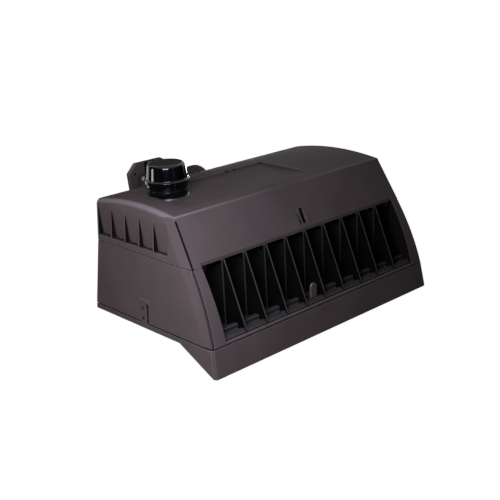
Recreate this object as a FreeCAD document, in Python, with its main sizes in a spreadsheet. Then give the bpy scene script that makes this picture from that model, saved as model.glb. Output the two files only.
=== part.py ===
import FreeCAD, Part
import os
import re
import Sketcher

# Wall-held LED flood light: a cast housing that tilts on a knuckle, with a hinged lens door
# underneath and a turning photocell control on the top.
# Frame: millimetres, +Z up, the light shines towards -Y, and the origin is the middle of the
# wall plate's rear face. Pieces of the light itself are drawn from the front edge of its lip
# and are then carried to their place at the knuckle.

SIZES = {
    # Outer form of the light
    "base_width": 520.0,
    "crown_width": 485.0,
    "housing_depth": 310.0,
    "cover_depth": 298.4,
    "corner_height": 233.5,
    "corner_setback": 97.2,
    "back_drop": 3.5,
    "crown_radius": 566.0,
    "lower_seam": 46.0,
    "lower_seam_front": 7.3,
    "upper_seam": 159.6,
    "upper_seam_front": 53.6,
    "brow_radius": 400.0,
    "belly_drop": 8.0,
    "lip_length": 84.0,
    "seam_gap": 1.0,
    "door_gap": 2.0,
    "wall": 3.5,
    "edge_round": 9.0,
    "facet_side": 22.0,
    "facet_front": 4.0,
    "groove_width": 1.8,
    "groove_depth": 1.8,
    "running_fit": 0.05,
    "screw_fit": 0.1,
    "clearance": 0.4,
    # Top cover
    "roof_wall": 7.5,
    "front_wall": 5.0,
    "eave_height": 7.0,
    "eave_depth": 4.8,
    "scoop_start": 110.0,
    "scoop_pitch": 37.6,
    "scoop_width": 34.5,
    "scoop_count": 5,
    "scoop_rise": 9.9,
    "scoop_height": 52.0,
    "scoop_depth": 8.5,
    "scoop_wall": 2.5,
    "gill_skin": 1.2,
    "gill_lap": 0.5,
    "gill_under": 2.0,
    "pad_sink": 4.7,
    "pad_right": 75.0,
    "pad_run": 35.0,
    "notch_rise": 10.9,
    "notch_height": 24.0,
    "notch_depth": 4.5,
    "notch_left_width": 4.0,
    "notch_right_width": 9.0,
    "notch_rib": 3.0,
    "boss_radius": 6.5,
    "boss_inset": 14.5,
    "boss_lead": 26.4,
    "boss_end": 13.0,
    # Middle housing and its opening
    "post_width": 21.5,
    "sill_thick": 3.0,
    "post_lead": 6.4,
    "ledge_thick": 7.0,
    "ledge_width": 22.0,
    "ledge_end": 12.0,
    "gusset_thick": 8.0,
    "gusset_size": 30.0,
    "vent_width": 30.0,
    "vent_rise": 29.5,
    "vent_drop": 21.1,
    "vent_count": 3,
    "sill_screw_step": 3,
    # Vanes, rail and heat sink
    "vane_count": 9,
    "vane_thick": 2.4,
    "vane_inset": 1.5,
    "vane_flange_width": 7.0,
    "vane_flange_thick": 3.0,
    "rail_thick": 3.0,
    "rail_front_inset": 4.0,
    "rail_lead": 3.0,
    "rail_low_depth": 6.0,
    "rail_low_rise": 3.0,
    "rail_high_depth": 8.0,
    "rail_high_rise": 8.0,
    "rail_rib_pitch": 14.0,
    "tongue_step": 4,
    "tongue_shift": 4.6,
    "tongue_width": 14.0,
    "tongue_height": 28.0,
    "tongue_thick": 3.0,
    "sink_side_gap": 14.5,
    "sink_gap": 2.0,
    "sink_base": 8.0,
    "sink_back_gap": 5.0,
    "fin_drop": 10.1,
    "fin_thick": 2.5,
    # Light engine
    "board_count": 4,
    "board_side": 18.0,
    "board_end": 10.0,
    "board_gap": 3.0,
    "board_thick": 1.6,
    "chip_size": 7.0,
    "chip_thick": 1.0,
    "optic_radius": 5.2,
    "optic_columns": 3,
    "optic_rows": 6,
    "optic_side": 20.0,
    "optic_end": 20.0,
    # Power tray
    "standoff_radius": 5.0,
    "standoff_lead": 34.0,
    "standoff_end": 28.0,
    "tray_gap": 6.0,
    "tray_thick": 2.5,
    "tray_side_gap": 2.3,
    "tray_lead": 26.0,
    "tray_end": 11.0,
    "driver_length": 170.0,
    "driver_width": 62.0,
    "driver_height": 38.0,
    "driver_ear": 12.0,
    "driver_ear_thick": 2.0,
    "driver_gap": 6.0,
    "driver_lead": 6.0,
    "surge_length": 62.0,
    "surge_width": 40.0,
    "surge_height": 30.0,
    "surge_across": 60.0,
    "surge_end": 39.0,
    "terminal_pitch": 12.0,
    "terminal_count": 5,
    "terminal_depth": 24.0,
    "terminal_height": 22.0,
    "terminal_across": 110.0,
    "terminal_end": 28.0,
    # Lens door
    "door_wall": 3.5,
    "door_rim": 8.0,
    "door_flange": 3.0,
    "lip_facet_side": 5.0,
    "lip_facet_front": 3.0,
    "window_side": 38.0,
    "window_lead": 14.0,
    "window_end": 18.0,
    "glass_ledge": 9.0,
    "glass_thick": 4.0,
    "lens_seal": 1.0,
    "door_seal_inset": 6.2,
    "door_seal_width": 4.0,
    "tab_front": 168.5,
    "tab_width": 14.5,
    "tab_rise": 33.5,
    "tab_thick": 2.7,
    "tab_swing": 6.0,
    "hinge_setback": 7.0,
    "hinge_drop": 4.0,
    "hinge_spacing": 300.0,
    "knuckle_radius": 5.0,
    "knuckle_length": 24.0,
    "lug_thick": 8.0,
    "lug_rise": 19.5,
    "pin_radius": 2.5,
    "pin_head": 1.5,
    "latch_lead": 9.0,
    "latch_drop": 7.8,
    "latch_radius": 3.0,
    "latch_stem": 1.6,
    "latch_head": 0.8,
    "latch_slot": 0.9,
    "rivet_lead": 8.0,
    "rivet_drop": 24.2,
    # Photocell control
    "cell_margin": 75.0,
    "cell_depth": 200.0,
    "cell_pad": 38.0,
    "cell_pad_thick": 10.0,
    "spigot_radius": 24.0,
    "spigot_length": 20.0,
    "base_ring_radius": 34.6,
    "base_ring_thick": 1.3,
    "receptacle_radius": 33.0,
    "receptacle_height": 10.5,
    "spin_gap": 0.1,
    "nut_ring_radius": 34.0,
    "nut_ring_thick": 6.0,
    "track_inner": 12.0,
    "track_outer": 18.0,
    "track_depth": 8.0,
    "cap_seal": 0.8,
    "cap_skirt_radius": 33.3,
    "cap_skirt": 9.2,
    "cap_flange_radius": 36.0,
    "cap_flange": 7.7,
    "cap_bevel": 2.4,
    "cap_neck_radius": 33.4,
    "cap_top_radius": 31.3,
    "cap_head": 25.0,
    "cap_round": 6.0,
    "cap_wall": 2.4,
    "cap_base_thick": 4.0,
    "blade_radius": 15.0,
    "blade_width": 7.0,
    "blade_thick": 1.8,
    "blade_length": 7.0,
    # Knuckle and wall side
    "pivot_reach": 122.0,
    "pivot_rise": 20.0,
    "pivot_standoff": 54.0,
    "pivot_lift": 27.9,
    "ear_radius": 36.0,
    "ear_thick": 21.0,
    "ear_round": 13.0,
    "web_thick": 14.0,
    "web_drop": 13.0,
    "saddle_width": 104.0,
    "saddle_rise": 19.5,
    "saddle_drop": 8.1,
    "saddle_thick": 8.0,
    "saddle_seal": 1.0,
    "saddle_bolt_side": 10.0,
    "saddle_bolt_end": 12.0,
    "saddle_bolt_radius": 4.0,
    "arm_width": 36.0,
    "arm_radius": 34.0,
    "arm_neck": 54.0,
    "foot_width": 56.0,
    "foot_height": 60.0,
    "foot_thick": 8.0,
    "foot_screw_side": 5.0,
    "foot_screw_end": 6.0,
    "foot_screw_radius": 2.5,
    "pivot_radius": 6.0,
    "pivot_head_radius": 10.5,
    "pivot_head_thick": 7.5,
    "pivot_nut_thick": 10.0,
    "washer_radius": 12.0,
    "washer_thick": 2.0,
    "plate_height": 108.0,
    "plate_top_width": 99.0,
    "plate_foot_width": 87.0,
    "plate_corner": 18.0,
    "plate_thick": 10.0,
    "plate_bolt_across": 72.0,
    "plate_bolt_up": 68.0,
    "plate_bolt_hole": 3.3,
    # Supply inlet and breather
    "gland_across": 120.0,
    "gland_bore": 5.0,
    "gland_radius": 8.0,
    "gland_flange_radius": 13.0,
    "gland_flange": 5.0,
    "gland_dome_radius": 11.0,
    "gland_dome": 16.0,
    "gland_tip_radius": 8.8,
    "gland_nut": 5.0,
    "breather_radius": 8.0,
    "breather_tip_radius": 6.4,
    "breather_stem": 4.0,
    "breather_height": 6.0,
    # Screws
    "small_screw": 1.9,
    "small_head": 3.6,
    "small_head_thick": 2.2,
    "large_screw": 2.4,
    "large_head": 4.4,
    "large_head_thick": 3.6,
}

X, Y, Z = FreeCAD.Vector(1, 0, 0), FreeCAD.Vector(0, 1, 0), FreeCAD.Vector(0, 0, 1)
TURNS = {
    "x": FreeCAD.Rotation(Y, 90),
    "y": FreeCAD.Rotation(X, -90),
    "z": FreeCAD.Rotation(),
}
SIDES = {"left": -1, "right": 1}
# How near a point has to be to a face to count as on it
NEAR = 0.05

doc = FreeCAD.newDocument("FloodLight")
sheet = doc.addObject("Spreadsheet::Sheet", "Sizes")
for row, (alias, value) in enumerate(SIZES.items(), start=1):
    sheet.set(f"A{row}", alias)
    sheet.set(f"B{row}", str(value))
    sheet.setAlias(f"B{row}", alias)
doc.recompute()

nodes = []


# Sizes and places as formulas

def formula(text):
    """Point each size named in the text at its cell, and write out each place named there."""
    def cell(word):
        name = word.group()
        if name in PLACES:
            return f"({formula(PLACES[name])})"
        return "Sizes." + name if name in SIZES else name
    return re.sub(r"[a-z_]+", cell, str(text))


def number(text):
    """Work a formula out."""
    return float(sheet.evalExpression(formula(text)))


def bind(thing, path, text):
    """Tie one property to a formula."""
    thing.setExpression(path, formula(text))


def bay_middle(step):
    """Middle of a bay between two vanes, counted inwards from the outermost one."""
    return f"(vane_pitch*(vane_count/2 - {step}))"


def half_width(height):
    """Half the light's width at a height: the sides lean in towards the crown."""
    return f"(base_width/2 - (base_width - crown_width)/2*({height})/corner_height)"


def back_face(height):
    """How far back the middle housing's rear wall stands at a height."""
    lean = "(housing_depth - cover_depth)/(middle_top - middle_foot)"
    return f"(housing_depth - {lean}*(({height}) - middle_foot))"


def brow_face(height):
    """How far back the middle housing's curved front stands at a height."""
    rise, run = "(middle_top - middle_foot)", "(upper_seam_front - lower_seam_front)"
    chord = f"sqrt({rise}^2 + {run}^2)"
    reach = f"sqrt(brow_radius^2 - {chord}^2/4)"
    middle = f"((upper_seam_front + lower_seam_front)/2 + {rise}/{chord}*{reach})"
    level = f"((upper_seam + lower_seam)/2 - {run}/{chord}*{reach})"
    return f"({middle} - sqrt(brow_radius^2 - (({height}) - {level})^2))"


def cover_face(height):
    """How far back the cover's straight front stands at a height."""
    slope = "(corner_setback - upper_seam_front)/(corner_height - cover_foot)"
    return f"(upper_seam_front + {slope}*(({height}) - cover_foot))"


def crown_height(depth):
    """How high the cover's crowned top stands at a depth."""
    run, rise = "(cover_depth - corner_setback)", "(back_height - corner_height)"
    chord = f"sqrt({run}^2 + {rise}^2)"
    reach = f"sqrt(crown_radius^2 - {chord}^2/4)"
    middle = f"((corner_setback + cover_depth)/2 + {rise}/{chord}*{reach})"
    level = f"((corner_height + back_height)/2 - {run}/{chord}*{reach})"
    return f"({level} + sqrt(crown_radius^2 - (({depth}) - {middle})^2))"


# Places that follow from the sizes, named so that formulas can use them
PLACES = {
    # Seams and the whole form
    "lower_top": "lower_seam - door_gap/2",
    "middle_foot": "lower_seam + door_gap/2",
    "middle_top": "upper_seam - seam_gap/2",
    "cover_foot": "upper_seam + seam_gap/2",
    "back_height": "corner_height - back_drop",
    "belly_height": "lower_top - belly_drop",
    "full_width": "base_width + crown_width",
    "post_depth": "upper_seam_front + post_lead",
    "light_back": "-(pivot_reach + pivot_back)",
    "light_up": "pivot_rise - pivot_height",
    # Cover
    "scoop_foot": "cover_foot + scoop_rise",
    "scoop_top": "scoop_foot + scoop_height",
    "gill_top": "scoop_foot + scoop_height*(1 - gill_skin/scoop_depth)",
    "pad_back": "cell_depth + pad_run",
    "pad_height": f"{crown_height('cell_depth')} - pad_sink",
    "notch_foot": "cover_foot + notch_rise",
    "notch_top": "notch_foot + notch_height",
    "boss_across": f"{half_width('upper_seam')} - wall - boss_inset",
    "boss_front": "upper_seam_front + boss_lead",
    "boss_back": "cover_depth - wall - boss_end",
    "gland_height": "(cover_foot + back_height - roof_wall)/2",
    # Middle housing
    "opening_width": f"2*(min({half_width('lower_seam')}; {half_width('upper_seam')}) - post_width)",
    "sill_top": "middle_foot + sill_thick",
    "ledge_top": "middle_foot + ledge_thick",
    "ledge_inner": f"{half_width('ledge_top')} - wall - ledge_width",
    "inner_back": f"min({back_face('ledge_top')}; {back_face('middle_top')}) - wall",
    "vent_foot": "middle_foot + vent_rise",
    "vent_height": "middle_top - vent_drop - vent_foot",
    "slot_floor": f"{half_width('tab_top')} - tab_thick - clearance",
    "lug_top": "middle_foot + lug_rise",
    # Vanes, heat sink and light engine
    "vane_pitch": "opening_width/(vane_count + 1)",
    "rail_top": "sill_top + rail_thick",
    "rail_front": f"{brow_face('sill_top')} + rail_front_inset",
    "low_rib_front": "rail_front + rail_lead",
    "high_rib_front": "low_rib_front + rail_rib_pitch",
    "tongue_front": "low_rib_front + rail_low_depth + clearance",
    "tongue_offset": "vane_pitch*(vane_count/2 - tongue_step) - tongue_shift",
    "sink_front": "post_depth + sink_gap",
    "sink_back": "inner_back - sink_back_gap",
    "sink_half": f"{half_width('ledge_top')} - wall - sink_side_gap",
    "sink_top": "ledge_top + sink_base",
    "fin_top": "middle_top - fin_drop",
    "board_front": "post_depth + ledge_end + board_end",
    "board_length": "inner_back - ledge_end - board_end - board_front",
    "board_pitch": "(2*(ledge_inner - board_side) + board_gap)/board_count",
    "board_width": "board_pitch - board_gap",
    "optic_pitch_across": "(board_width - 2*optic_side)/(optic_columns - 1)",
    "optic_pitch_along": "(board_length - 2*optic_end)/(optic_rows - 1)",
    # Power tray
    "standoff_front": "sink_front + standoff_lead",
    "standoff_back": "sink_back - standoff_end",
    "tray_foot": "fin_top + tray_gap",
    "tray_top": "tray_foot + tray_thick",
    "tray_half": f"{half_width('upper_seam')} - wall/2 - gusset_size - tray_side_gap",
    "tray_front": "post_depth + tray_lead",
    "tray_back": "inner_back - tray_end",
    "driver_across": "driver_length/2 + driver_ear + driver_gap/2",
    "driver_front": "tray_front + driver_lead",
    "surge_front": "tray_back - surge_end - surge_width",
    "terminal_front": "tray_back - terminal_end - terminal_depth",
    # Lens door
    "window_width": "base_width - 2*window_side",
    "window_front": "lip_length + window_lead",
    "window_back": "housing_depth - window_end",
    "glass_foot": "belly_height + door_flange + lens_seal",
    "tab_back": "tab_front + tab_width",
    "tab_top": "lower_top + tab_rise",
    "hinge_height": "lower_top - hinge_drop",
    "hinge_back": "housing_depth + hinge_setback",
    "latch_along": "tab_front + latch_lead",
    "latch_height": "tab_top - latch_drop",
    "rivet_along": "tab_front + rivet_lead",
    "rivet_height": "tab_top - rivet_drop",
    # Photocell control
    "cell_left": "crown_width/2 - cell_margin",
    "ring_top": "pad_height + base_ring_thick",
    "cell_foot": "ring_top + spin_gap",
    "cell_top": "cell_foot + receptacle_height",
    "cap_foot": "cell_top + spin_gap + cap_seal",
    # Knuckle and wall side
    "pivot_back": "max(housing_depth; cover_depth) + pivot_standoff",
    "pivot_height": "cover_foot + pivot_lift",
    "ear_inner": "arm_width/2 + clearance",
    "ear_outer": "ear_inner + ear_thick",
    "saddle_foot": "middle_foot + saddle_rise",
    "saddle_top": "middle_top - saddle_drop",
    "saddle_back": f"max({back_face('saddle_foot')}; {back_face('saddle_top')}) + saddle_seal + saddle_thick",
    "saddle_bolt_across": "saddle_width/2 - saddle_bolt_side",
    "saddle_bolt_foot": "saddle_foot + saddle_bolt_end",
    "saddle_bolt_top": "saddle_top - saddle_bolt_end",
    "foot_screw_across": "foot_width/2 - foot_screw_side",
    "foot_screw_up": "foot_height/2 - foot_screw_end",
}


# Ways to draw a solid

def box(name, corner, size):
    """A block from its low corner."""
    solid = doc.addObject("Part::Box", name)
    for axis, text in zip("xyz", corner):
        bind(solid, f"Placement.Base.{axis}", text)
    for side, text in zip(("Length", "Width", "Height"), size):
        bind(solid, side, text)
    return solid


def set_place(solid, start, along):
    """Turn a round solid along an axis and bind the middle of its first end."""
    solid.Placement = FreeCAD.Placement(FreeCAD.Vector(), TURNS[along])
    for axis, text in zip("xyz", start):
        bind(solid, f"Placement.Base.{axis}", text)


def rod(name, start, radius, length, along="z"):
    """A round bar along one axis."""
    solid = doc.addObject("Part::Cylinder", name)
    bind(solid, "Radius", radius)
    bind(solid, "Height", length)
    set_place(solid, start, along)
    return solid


def taper(name, start, radius, end_radius, length, along="z"):
    """A round bar that narrows along one axis."""
    solid = doc.addObject("Part::Cone", name)
    bind(solid, "Radius1", radius)
    bind(solid, "Radius2", end_radius)
    bind(solid, "Height", length)
    set_place(solid, start, along)
    return solid


def hexagon(name, start, radius, length, along="z"):
    """A six-sided bar along one axis."""
    solid = doc.addObject("Part::Prism", name)
    solid.Polygon = 6
    bind(solid, "Circumradius", radius)
    bind(solid, "Height", length)
    set_place(solid, start, along)
    return solid


def join(name, *solids):
    """One solid from several that overlap."""
    whole = doc.addObject("Part::MultiFuse", name)
    whole.Shapes = list(solids)
    return whole


def group(name, solids):
    """Separate solids that share a node."""
    whole = doc.addObject("Part::Compound", name)
    whole.Links = list(solids)
    return whole


def cut(name, base, *tools):
    """A solid with one or more others taken out of it."""
    whole = doc.addObject("Part::Cut", name)
    whole.Base = base
    whole.Tool = tools[0] if len(tools) == 1 else join(name + "_tools", *tools)
    return whole


def node(name, solid, on_light=True):
    """Name a finished sub-part and, on the light, carry it to its place at the knuckle."""
    solid.Label = name
    if on_light:
        bind(solid, "Placement.Base.y", "light_back")
        bind(solid, "Placement.Base.z", "light_up")
    nodes.append(solid)
    return solid


def origin_part(body, role):
    """One of a body's own planes or axes."""
    return next(part for part in body.Origin.OriginFeatures if part.Role == role)


def draw_loop(sketch, corners):
    """One closed outline: (across, up) corners, with a radius and a side where an arc follows."""
    places = [(number(corner[0]), number(corner[1])) for corner in corners]
    edges = []
    for index, corner in enumerate(corners):
        start = FreeCAD.Vector(*places[index], 0)
        end = FreeCAD.Vector(*places[(index + 1) % len(places)], 0)
        if len(corner) == 2:
            edge = sketch.addGeometry(Part.LineSegment(start, end), False)
        else:
            chord = end - start
            radius = number(corner[2])
            rise = radius - (radius**2 - chord.Length**2/4)**0.5
            out = FreeCAD.Vector(-chord.y, chord.x, 0).normalize()*rise*corner[3]
            edge = sketch.addGeometry(Part.Arc(start, (start + end)/2 + out, end), False)
            rule = sketch.addConstraint(Sketcher.Constraint("Radius", edge, radius))
            bind(sketch, f"Constraints[{rule}]", corner[2])
        first = 1 if sketch.getPoint(edge, 1).isEqual(start, NEAR) else 2
        edges.append((edge, first, 3 - first))
    for index, (edge, first, last) in enumerate(edges):
        following = edges[(index + 1) % len(edges)]
        sketch.addConstraint(Sketcher.Constraint("Coincident", edge, last, following[0], following[1]))
        for kind, text, place in zip(("DistanceX", "DistanceY"), corners[index], places[index]):
            rule = sketch.addConstraint(Sketcher.Constraint(kind, -1, 1, edge, first, place))
            bind(sketch, f"Constraints[{rule}]", text)


def draw_circle(sketch, across, up, radius):
    """One round outline."""
    place = (number(across), number(up))
    ring = Part.Circle(FreeCAD.Vector(*place, 0), Z, number(radius))
    edge = sketch.addGeometry(ring, False)
    rule = sketch.addConstraint(Sketcher.Constraint("Radius", edge, number(radius)))
    bind(sketch, f"Constraints[{rule}]", radius)
    for kind, text, value in zip(("DistanceX", "DistanceY"), (across, up), place):
        rule = sketch.addConstraint(Sketcher.Constraint(kind, -1, 1, edge, 3, value))
        bind(sketch, f"Constraints[{rule}]", text)


def sketch_on(body, plane, loops, circles=(), offset="0"):
    """A sketch of closed outlines on one of the body's own planes."""
    sketch = body.newObject("Sketcher::SketchObject", body.Name + "_outline")
    sketch.AttachmentSupport = [(origin_part(body, plane), "")]
    sketch.MapMode = "FlatFace"
    bind(sketch, "AttachmentOffset.Base.z", offset)
    for corners in loops:
        draw_loop(sketch, corners)
    for circle in circles:
        draw_circle(sketch, *circle)
    return sketch


def pad(body, sketch, length, both_ways=True):
    """Raise a sketch to a solid."""
    feature = body.newObject("PartDesign::Pad", body.Name + "_pad")
    feature.Profile = sketch
    feature.SideType = "Symmetric" if both_ways else "One side"
    bind(feature, "Length", length)
    return feature


def pocket(body, sketch, length, both_ways=False, flip=False):
    """Sink a sketch into the body."""
    feature = body.newObject("PartDesign::Pocket", body.Name + "_pocket")
    feature.Profile = sketch
    feature.SideType = "Symmetric" if both_ways else "One side"
    feature.Reversed = flip
    bind(feature, "Length", length)
    return feature


def edges_where(feature, test):
    """Names of the edges whose middle point passes a test."""
    names = []
    for index, edge in enumerate(feature.Shape.Edges, start=1):
        middle = edge.valueAt((edge.FirstParameter + edge.LastParameter)/2)
        if test(middle):
            names.append(f"Edge{index}")
    return names


def profile_body(name, corners, width):
    """A body drawn in side view and raised to both sides."""
    body = doc.addObject("PartDesign::Body", name)
    pad(body, sketch_on(body, "YZ_Plane", [corners]), width)
    return body


def trim_sides(body, inset="0"):
    """Lean a body's two sides in, as the whole light's sides lean, or a wall inside them."""
    low, high, out = "(-wall)", "(2*corner_height)", "full_width"
    loops = []
    for side in SIDES.values():
        loops.append([
            (f"{side}*({half_width(low)} - {inset})", low),
            (f"{side}*({half_width(high)} - {inset})", high),
            (f"{side}*{out}", high),
            (f"{side}*{out}", low),
        ])
    return pocket(body, sketch_on(body, "XZ_Plane", loops), "4*housing_depth", both_ways=True)


def side_bands(low, high, outer, inner):
    """Bands on both sides, between two heights and two depths under the leaning side faces."""
    edges = ((low, outer), (high, outer), (high, inner), (low, inner))
    return [[(f"{side}*({half_width(height)} - {depth})", height) for height, depth in edges]
            for side in SIDES.values()]


def bevel_front(body, base, face, side, front):
    """Facet a body's two front corners, wide on the side and narrow on the front."""
    doc.recompute()

    def on_corner(point):
        at_side = abs(abs(point.x) - number(half_width(point.z))) < NEAR
        return at_side and abs(point.y - number(face(point.z))) < NEAR

    feature = body.newObject("PartDesign::Chamfer", body.Name + "_facet")
    feature.Base = (base, edges_where(base, on_corner))
    feature.ChamferType = "Two distances"
    bind(feature, "Size", front)
    bind(feature, "Size2", side)
    return feature


def screw(name, tip, radius, length, head_radius, head_thick, along="z", flip=False):
    """A pan-head screw: tip is its far end, and the head closes the shank's other end."""
    axis = "xyz".index(along)
    start, seat = list(tip), list(tip)
    seat[axis] = f"{tip[axis]} + {length}"
    if flip:
        start[axis] = f"{tip[axis]} - {length}"
        seat[axis] = f"{start[axis]} - {head_thick}"
    shank = rod(name + "_shank", start, radius, length, along)
    head = rod(name + "_head", seat, head_radius, head_thick, along)
    return join(name, shank, head)


def corners_of(across, places):
    """The four (side, place) pairs of a symmetric pattern."""
    return [(f"{side}*{across}", place) for side in SIDES.values() for place in places]


# Cast shells of the light

def groove_tools(name, face_corners):
    """Narrow grooves that run down the front beside each corner facet."""
    crescent = profile_body(name + "_skin", face_corners, "full_width")
    strips = doc.addObject("PartDesign::Body", name + "_strips")
    loops = side_bands("0", "(corner_height + wall)", "facet_front", "(facet_front + groove_width)")
    pad(strips, sketch_on(strips, "XZ_Plane", loops), "4*housing_depth")
    tools = doc.addObject("Part::Common", name)
    tools.Base = crescent
    tools.Tool = strips
    return tools


def top_cover():
    """Crowned cover with side scoops, a control pad, a sight notch and four screw bosses."""
    body = profile_body("cover_form", [
        ("upper_seam_front", "cover_foot"),
        ("corner_setback", "corner_height", "crown_radius", 1),
        ("cover_depth", "back_height"),
        ("cover_depth", "cover_foot"),
    ], "full_width")
    facet = bevel_front(body, trim_sides(body), cover_face, "facet_side", "facet_front")
    doc.recompute()

    def on_rim(point):
        return abs(abs(point.x) - number(half_width(point.z))) < NEAR and point.z > number("back_height")

    rim = body.newObject("PartDesign::Fillet", "cover_rim")
    rim.Base = (facet, edges_where(facet, on_rim))
    bind(rim, "Radius", "edge_round")

    scoops = []
    for side in SIDES.values():
        scoops.append([
            (f"{side}*{half_width('scoop_top')}", "scoop_top"),
            (f"{side}*({half_width('scoop_foot')} + wall)", "scoop_foot"),
            (f"{side}*({half_width('scoop_foot')} - scoop_depth)", "scoop_foot"),
        ])
    # Each scoop has a slot under its rear rib and its foot, which shows as a dark edge
    through = "(scoop_depth + scoop_wall + wall)"
    rear_slot = side_bands("scoop_foot", "gill_top", "gill_skin", through)
    foot_slot = side_bands("(scoop_foot - gill_under)", "(scoop_foot + gill_lap)", "gill_skin", through)
    gills = [
        pocket(body, sketch_on(body, "XZ_Plane", scoops, offset="-scoop_start"), "scoop_width"),
        pocket(body, sketch_on(body, "XZ_Plane", rear_slot, offset="gill_lap - scoop_start - scoop_width"),
               "gill_lap + gill_under"),
        pocket(body, sketch_on(body, "XZ_Plane", foot_slot, offset="-scoop_start"), "scoop_width + gill_lap"),
    ]
    row = body.newObject("PartDesign::LinearPattern", "cover_scoops")
    row.Originals = gills
    row.Direction = (origin_part(body, "Y_Axis"), [""])
    bind(row, "Length", "scoop_pitch*(scoop_count - 1)")
    bind(row, "Occurrences", "scoop_count")
    body.Tip = row

    pad_loop = [
        ("-cell_left - pad_run", "corner_setback"),
        ("pad_right", "corner_setback"),
        ("pad_right", "pad_back"),
        ("-cell_left", "pad_back", "pad_run", -1),
        ("-cell_left - pad_run", "cell_depth"),
    ]
    pocket(body, sketch_on(body, "XY_Plane", [pad_loop], offset="pad_height"), "crown_radius", flip=True)
    spigot = ("-cell_left", "cell_depth", "spigot_radius + running_fit")
    pocket(body, sketch_on(body, "XY_Plane", [], [spigot]), "2*corner_height", flip=True)

    eave = [
        (cover_face("upper_seam + eave_height"), "upper_seam + eave_height"),
        ("upper_seam_front - wall", "upper_seam + eave_height"),
        ("upper_seam_front - wall", "upper_seam"),
        ("upper_seam_front + eave_depth", "upper_seam"),
    ]
    pocket(body, sketch_on(body, "YZ_Plane", [eave]), "opening_width", both_ways=True)

    notch = [
        (cover_face("notch_top"), "notch_top"),
        (f"{cover_face('notch_foot')} - wall", "notch_foot"),
        (f"{cover_face('notch_foot')} + notch_depth", "notch_foot"),
    ]
    for width, start in (("notch_left_width", "0"), ("notch_right_width", "notch_rib + notch_right_width")):
        pocket(body, sketch_on(body, "YZ_Plane", [notch], offset=start), width)

    slope = "((corner_setback - upper_seam_front)/(corner_height - upper_seam))"
    inner_front = f"(front_wall*sqrt(1 + {slope}^2))"
    roof_front = "(corner_height - roof_wall)"
    cavity = profile_body("cover_cavity", [
        (f"upper_seam_front + {inner_front}", "upper_seam - wall"),
        (f"upper_seam_front + {inner_front}", "upper_seam"),
        (f"{cover_face(roof_front)} + {inner_front}", roof_front, "crown_radius", 1),
        ("cover_depth - wall", "back_height - roof_wall"),
        ("cover_depth - wall", "upper_seam - wall"),
    ], "full_width")
    trim_sides(cavity, "(scoop_depth + scoop_wall)")
    bosses = []
    for index, (across, along) in enumerate(cover_bosses()):
        bosses.append(rod(f"cover_boss_{index}", (across, along, "upper_seam"), "boss_radius",
                          "corner_height"))
    cell_pad = rod("cell_pad_boss", ("-cell_left", "cell_depth", "pad_height - cell_pad_thick"),
                   "cell_pad", "cell_pad_thick")
    hollow = cut("cover_hollow", cavity, cell_pad, *bosses)

    holes = [rod("cell_hole", ("-cell_left", "cell_depth", "upper_seam"), "spigot_radius + running_fit",
                 "corner_height")]
    for index, (across, along) in enumerate(cover_bosses()):
        holes.append(rod(f"cover_thread_{index}", (across, along, "upper_seam - wall"),
                         "large_screw + screw_fit", "wall + seam_gap + 4*large_head_thick"))
    for name, across, radius in (("gland", "gland_across", "gland_radius"),
                                 ("breather", "-gland_across", "breather_stem")):
        holes.append(rod(name + "_hole", (across, "cover_depth - 2*wall", "gland_height"),
                         f"{radius} + running_fit", "4*wall", "y"))
    groove_foot, groove_top = "upper_seam", "(corner_height + wall)"
    grooves = groove_tools("cover_grooves", [
        (f"{cover_face(groove_foot)} - wall", groove_foot),
        (f"{cover_face(groove_top)} - wall", groove_top),
        (f"{cover_face(groove_top)} + groove_depth", groove_top),
        (f"{cover_face(groove_foot)} + groove_depth", groove_foot),
    ])
    return node("top_cover", cut("top_cover", body, hollow, grooves, *holes))


def cover_bosses():
    """Where the cover's four screws stand."""
    return corners_of("boss_across", ("boss_front", "boss_back"))


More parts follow.
